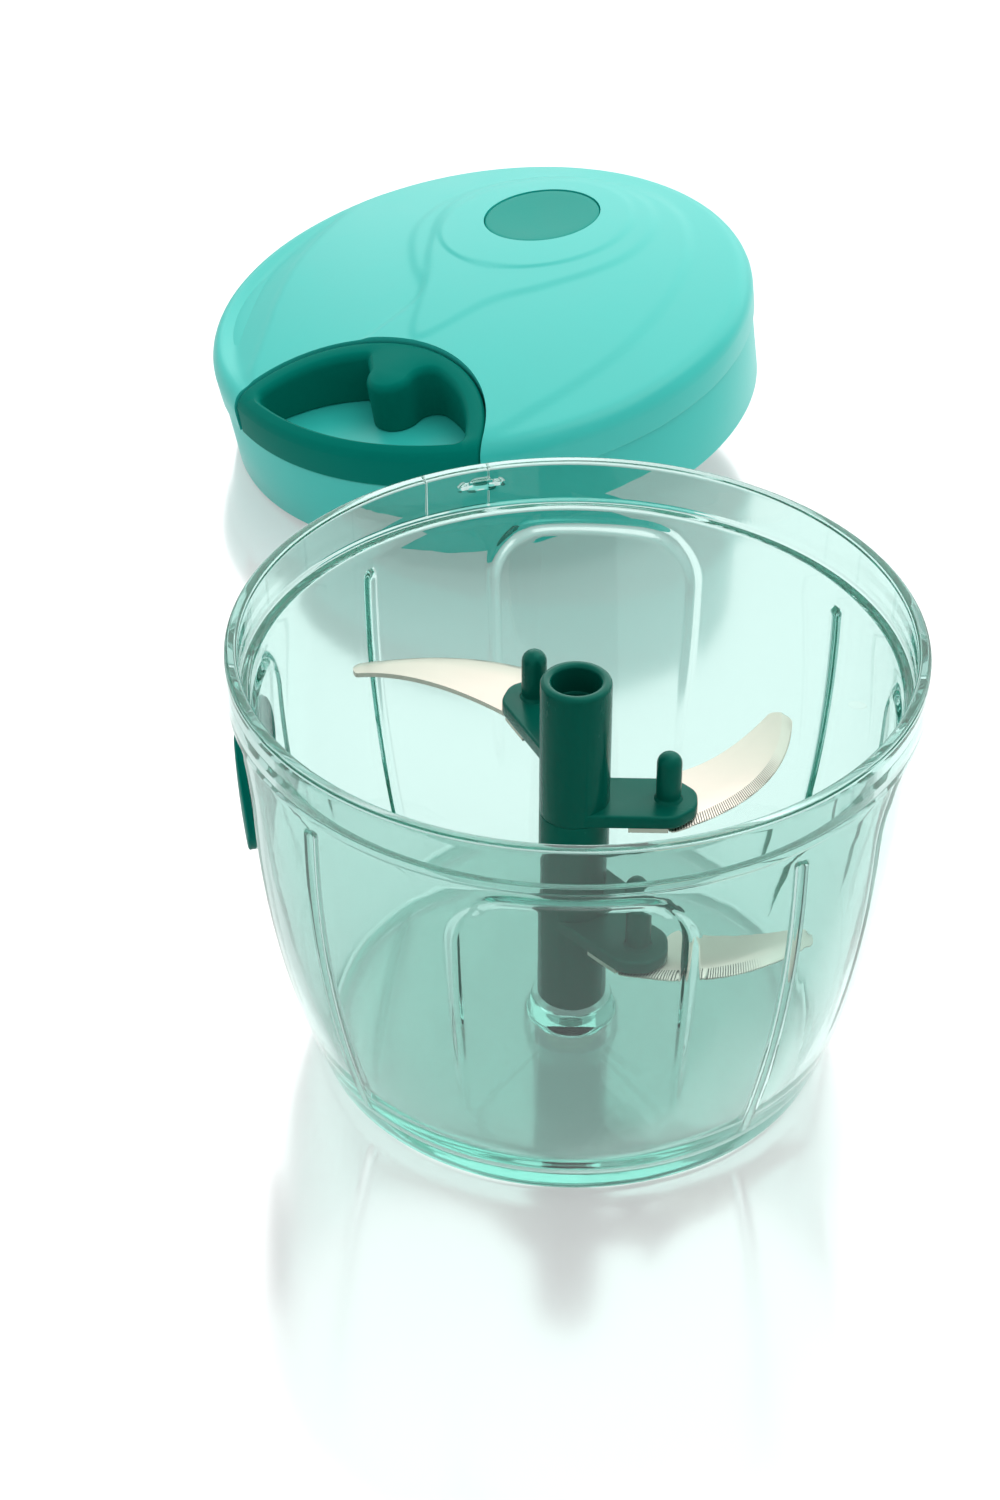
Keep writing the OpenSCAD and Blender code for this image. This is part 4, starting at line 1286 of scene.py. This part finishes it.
@dataclass
class PullHandle:
    """Handle in the lid's edge, with the post between its finger gaps."""

    lid: Lid
    grip_r: float = 36.5
    grip_t: float = 5.0
    flush: float = 0.3
    lift: float = 0.3
    side_gap: float = 0.5
    post_w: float = 12.0
    post_reach: float = 47.0
    soft_root: float = 4.2
    tight_root: float = 0.8
    root_spread: float = 3.2
    outer_corner: float = 1.5
    inner_corner: float = 2.5
    gap_lip: float = 2.4
    back_lip: float = 1.2
    lip_in: float = 1.4

    def crescent(self, grip: float, side: float, corner: float) -> tuple[Point, float, float]:
        """Rounding where the handle's curve meets the lid's side.

        Args:
            grip: Radius of the handle's curve.
            side: Radius of the lid's side.
            corner: Radius of the rounding.

        Returns:
            Its centre, and the angles at which it meets the side and the curve.
        """
        c = self.lid.grip_c
        x = ((side - corner) ** 2 - (grip - corner) ** 2 + c ** 2) / (2 * c)
        y = math.sqrt((side - corner) ** 2 - x ** 2)
        return (x, y), math.degrees(math.atan2(y, x)), math.degrees(math.atan2(y, x - c))

    @staticmethod
    def mirrored(half: list[Point]) -> list[Point]:
        """Closed outline from its upper half."""
        return half + [(x, -y) for x, y in reversed(half) if y > MERGE]

    def outer_loop(self) -> list[Point]:
        """Outer outline of the handle."""
        side = self.lid.lid_r - self.side_gap
        centre, low, high = self.crescent(self.grip_r, side, self.outer_corner)
        half = arc((0, 0), side, 0, low, 16) + arc(centre, self.outer_corner, low, high, 5)[1:]
        return self.mirrored(half + arc((self.lid.grip_c, 0), self.grip_r, high, 180, 28)[1:])

    def inner_loop(self) -> list[Point]:
        """Outline of the finger gaps round the post."""
        side, grip = self.lid.lid_r - self.grip_t, self.grip_r - self.grip_t
        centre, low, high = self.crescent(grip, side, self.inner_corner)
        half_w = self.post_w / 2
        halves = []
        for fillet, root in ((self.soft_root, half_w), (self.tight_root, half_w + self.root_spread)):
            back = math.sqrt((grip - fillet) ** 2 - (root + fillet) ** 2)
            meet = math.degrees(math.atan2(root + fillet, -back))
            half = arc((0, 0), side, 0, low, 12) + arc(centre, self.inner_corner, low, high, 6)[1:]
            half += arc((self.lid.grip_c, 0), grip, high, meet, 16)[1:]
            half += arc((self.lid.grip_c - back, root + fillet), fillet, meet, 270, 8)[1:]
            halves.append(half + arc((self.post_reach - half_w, 0), half_w, 90, 0, 10))
        return halves[0] + [(x, -y) for x, y in reversed(halves[1]) if y > MERGE]

    @staticmethod
    def lip_drop(inset: np.ndarray, radius: float) -> np.ndarray:
        """Drop of a rounded lip below its top, some way in from its wall."""
        short = np.clip(radius - inset, 0, radius)
        return radius - np.sqrt(radius ** 2 - short ** 2)

    def top_z(self, flat: np.ndarray) -> np.ndarray:
        """Height of the handle's top, rounded towards its back and towards the finger gaps."""
        from_back = self.grip_r - np.hypot(flat[:, 0] - self.lid.grip_c, flat[:, 1])
        from_gap = -depth_inside(flat, np.array(self.inner_loop()))
        drop = np.maximum(self.lip_drop(from_back, self.back_lip), self.lip_drop(from_gap, self.gap_lip))
        return self.lid.surface_z(np.hypot(*flat.T), self.flush) - drop

    def ring(self) -> BMesh:
        """Wall and post with a rounded lip that follows the dome."""
        bm = bmesh.new()
        rims = []
        for loop in (self.outer_loop(), self.inner_loop()):
            verts = [bm.verts.new((*p, 0)) for p in loop]
            rims += [bm.edges.new(pair) for pair in zip(verts, verts[1:] + verts[:1])]
        made = bmesh.ops.triangle_fill(bm, use_beauty=True, edges=rims, normal=(0, 0, 1))["geom"]
        top = only(made, BMFace)
        steps = [self.lip_in * (1 - math.cos(math.radians(turn))) for turn in spread(0.0, 90.0, 7)]
        for last, here in zip(steps, steps[1:]):
            bmesh.ops.inset_region(bm, faces=top, thickness=here - last, use_boundary=True,
                                   use_even_offset=True)
        low = self.lid.skirt_h + self.lift
        wall = bmesh.ops.extrude_edge_only(bm, edges=[e for e in bm.edges if e.is_boundary])["geom"]
        foot = set(only(wall, BMVert))
        heights = self.top_z(np.array([v.co.xy for v in bm.verts]))
        for vert, height in zip(bm.verts, heights):
            vert.co.z = low if vert in foot else height
        rim = [e for e in bm.edges if e.is_boundary]
        bmesh.ops.triangle_fill(bm, use_beauty=True, edges=rim, normal=(0, 0, -1))
        return tidy(bm)

    def build(self) -> None:
        """Makes the handle and dresses the knot in its post."""
        Piece("pull_grip", self.ring(), [GREEN], Body.HANDLE, Slot.GREEN, ["pull_handle"],
              self.lid.place).add()
        dress("cord_knot", CORD)


@dataclass
class Drive:
    """Reel, spindle and pull cord inside the lid."""

    lid: Lid
    cord_r: float = 0.8
    cord_turns: int = 5
    cord_in: float = 7.5
    cord_pitch: float = 2.1
    knot_x: float = 38.0
    knot_r: float = 2.6
    exit_x: float = 29.3
    bend_x: float = 25.5
    bend_r: float = 2.5
    tail: float = 5.2
    tail_gap: float = 0.4
    loop_steps: int = 40
    bend_steps: int = 6
    run_steps: int = 24
    sides: int = 12

    @property
    def cord_out(self) -> float:
        """Radius of the outermost turn."""
        return self.cord_in + self.cord_pitch * self.cord_turns

    @property
    def leave_turn(self) -> float:
        """Direction in which the cord leaves the reel."""
        far = math.hypot(self.bend_x, self.bend_r)
        rise = math.asin((self.cord_out + self.bend_r) / far)
        return math.degrees(rise - math.atan(self.bend_r / self.bend_x))

    def off_reel(self, run: float) -> Point:
        """Point on the cord's straight run, some way from where it leaves the reel."""
        away = turned(self.leave_turn)
        leave = turned(self.leave_turn - 90, self.cord_out)
        return leave[0] + away[0] * run, leave[1] + away[1] * run

    def tube(self, route: Sequence[Point]) -> BMesh:
        """Round cord along a flat route, with its UV map along and round it.

        Args:
            route: Points of the cord's middle line.

        Returns:
            The closed tube.
        """
        bm = bmesh.new()
        strands = bm.loops.layers.uv.new("strands")
        run_of = bm.verts.layers.float.new("run")
        spoke_of = bm.verts.layers.int.new("spoke")
        line = [Vector((*p, self.lid.cord_z)) for p in route]
        ring = bmesh.ops.create_circle(bm, cap_ends=False, segments=self.sides, radius=self.cord_r)["verts"]
        rim = bm.edges[:]
        start = [v.co.copy() for v in ring]
        for i, vert in enumerate(ring):
            vert[spoke_of] = i
        run = 0.0
        for i, here in enumerate(line):
            if i:
                run += (here - line[i - 1]).length
                made = bmesh.ops.extrude_edge_only(bm, edges=rim)["geom"]
                fresh = {tuple(v.co): v for v in only(made, BMVert)}
                rim = only(made, BMEdge)
                ring = [fresh[tuple(v.co)] for v in ring]
            ahead = line[min(i + 1, len(line) - 1)] - line[max(i - 1, 0)]
            square = ahead.to_track_quat("Z", "Y").to_matrix()
            for vert, spoke in zip(ring, start):
                vert.co = here + square @ spoke
                vert[run_of] = run
        bmesh.ops.holes_fill(bm, edges=[e for e in bm.edges if e.is_boundary], sides=self.sides)
        bmesh.ops.recalc_face_normals(bm, faces=bm.faces)
        step = math.tau * self.cord_r / self.sides
        for face in bm.faces:
            seam = max(v[spoke_of] for v in face.verts) == self.sides - 1
            for loop in face.loops:
                spoke = loop.vert[spoke_of] or (self.sides if seam else 0)
                loop[strands].uv = (spoke * step, loop.vert[run_of])
        return bm

    def winding(self) -> list[Point]:
        """Spiral of cord on the reel, and its short straight tail, which the drawn cord starts beyond."""
        first = self.leave_turn - 90
        count = self.loop_steps * self.cord_turns
        route = [self.off_reel(self.tail), self.off_reel(self.tail / 2)]
        for i in range(count + 1):
            route.append(turned(first - FULL_TURN * i / self.loop_steps,
                                self.cord_out - self.cord_pitch * i / self.loop_steps))
        return route

    def lead(self) -> list[Point]:
        """Cord from the reel through the eyelet to the knot."""
        start = self.off_reel(self.tail + self.tail_gap)
        bend = arc((self.bend_x, -self.bend_r), self.bend_r, 90 + self.leave_turn, 90, self.bend_steps)
        end = self.knot_x - self.knot_r
        return [start] + bend + [(x, 0.0) for x in spread(self.bend_x + 1.0, end, self.run_steps)]

    def build(self) -> None:
        """Makes the cord and dresses the reel and spindle."""
        Piece("wound_cord", self.tube(self.winding()), [CORD], Body.REEL, Slot.CORD, ["cord_winding"],
              self.lid.place).add()
        lead = Piece("drawn_cord", self.tube(self.lead()), [CORD], Body.LID, Slot.CORD, ["cord_lead"],
                     self.lid.place).add(ride=False)
        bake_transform(lead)
        for node in ("cord_reel", "reel_flange"):
            dress(node, GREEN)
        for node in ("drive_spindle", "retaining_clip"):
            dress(node, STEEL)


# Studio

@dataclass
class Studio:
    """Pale floor, soft light and the camera at the photographed angle. Sizes here are in metres."""

    floor_size: float = 12.0
    floor_drop: float = 0.0002
    levels: Point = (0.25, 0.75)
    level_ends: Point = (-0.7, 0.5)
    bright_way: tuple[float, float, float] = (0.0, 0.8, 0.6)
    aim: tuple[float, float, float] = (0.0, 0.1, 0.03)
    camera_at: tuple[float, float, float] = (0.0, -0.490, 0.4198)
    camera_pitch: float = 35.855
    camera_yaw: float = 1.663
    focal_px: float = 3200.0
    image_px: float = 1500.0
    sensor: float = 36.0
    bounces: int = 96

    def camera(self) -> None:
        """Camera at the photograph's viewing angle."""
        data = bpy.data.cameras.new("camera")
        data.sensor_width = self.sensor
        data.lens = self.focal_px * self.sensor / self.image_px
        data.clip_start = 0.01
        view = bpy.data.objects.new("camera", data)
        view.location = self.camera_at
        view.rotation_euler = (math.radians(90 - self.camera_pitch), 0, math.radians(self.camera_yaw))
        bpy.context.scene.collection.objects.link(view)
        bpy.context.scene.camera = view

    def floor(self) -> None:
        """Lays the floor under the object."""
        bm = bmesh.new()
        bmesh.ops.create_grid(bm, x_segments=1, y_segments=1, size=self.floor_size / 2)
        bmesh.ops.translate(bm, verts=bm.verts, vec=(0, 0, -self.floor_drop))
        mesh = bpy.data.meshes.new("floor")
        bm.to_mesh(mesh)
        bm.free()
        mesh.materials.append(WhiteFloor("white_floor").build())
        floor = bpy.data.objects.new("floor", mesh)
        bpy.context.scene.collection.objects.link(floor)

    def softbox(self, name: str, at: tuple[float, float, float], size: Point, level: float) -> None:
        """Large soft light that faces the object.

        Args:
            name: Name of the light.
            at: Place of its middle.
            size: Width and height.
            level: Brightness of its face, where 1 is white.
        """
        data = bpy.data.lights.new(name, "AREA")
        data.shape = "RECTANGLE"
        data.size, data.size_y = size
        data.energy = level * math.pi * size[0] * size[1]
        lamp = bpy.data.objects.new(name, data)
        lamp.location = at
        lamp.rotation_euler = (Vector(self.aim) - Vector(at)).to_track_quat("-Z", "Y").to_euler()
        bpy.context.scene.collection.objects.link(lamp)

    def world(self) -> None:
        """Pale surroundings, brighter above and behind than in front, and white where they show."""
        world = bpy.data.worlds.new("surroundings")
        world.use_nodes = True
        nodes = Nodes(world.node_tree)
        way = nodes.add("ShaderNodeTexCoord").outputs["Generated"]
        behind = nodes.add("ShaderNodeVectorMath", {0: way, 1: self.bright_way}, operation="DOT_PRODUCT")
        level = nodes.remap(behind.outputs["Value"], self.level_ends, self.levels)
        strength = nodes.add("ShaderNodeMix", {0: nodes.shown(), 2: level, 3: 1.0}, data_type="FLOAT")
        sky = nodes.add("ShaderNodeBackground", {"Color": WHITE, "Strength": strength.outputs[0]})
        nodes.add("ShaderNodeOutputWorld", {"Surface": sky.outputs[0]})
        bpy.context.scene.world = world

    def light_paths(self) -> None:
        """Lets light pass often enough through the clear wall, its ribs and its ledge."""
        paths = bpy.context.scene.cycles
        paths.max_bounces = self.bounces
        paths.glossy_bounces = self.bounces
        paths.transmission_bounces = self.bounces

    def build(self) -> None:
        """Sets up the camera, floor and light."""
        self.light_paths()
        self.camera()
        self.floor()
        self.world()
        self.softbox("back_light", (0.9, 2.5, 2.0), (5.0, 3.6), 1.15)
        self.softbox("top_light", (0.5, 0.1, 1.6), (1.2, 1.2), 1.5)
        bpy.context.scene.view_settings.view_transform = "Standard"


def main() -> None:
    """Builds the object and its studio in order."""
    logging.basicConfig(level=logging.INFO, format="%(message)s")
    Studio().build()
    Bowl().build()
    BladeSet().build()
    lid = Lid()
    lid.build()
    PullHandle(lid).build()
    Drive(lid).build()


if __name__ == "__main__":
    main()
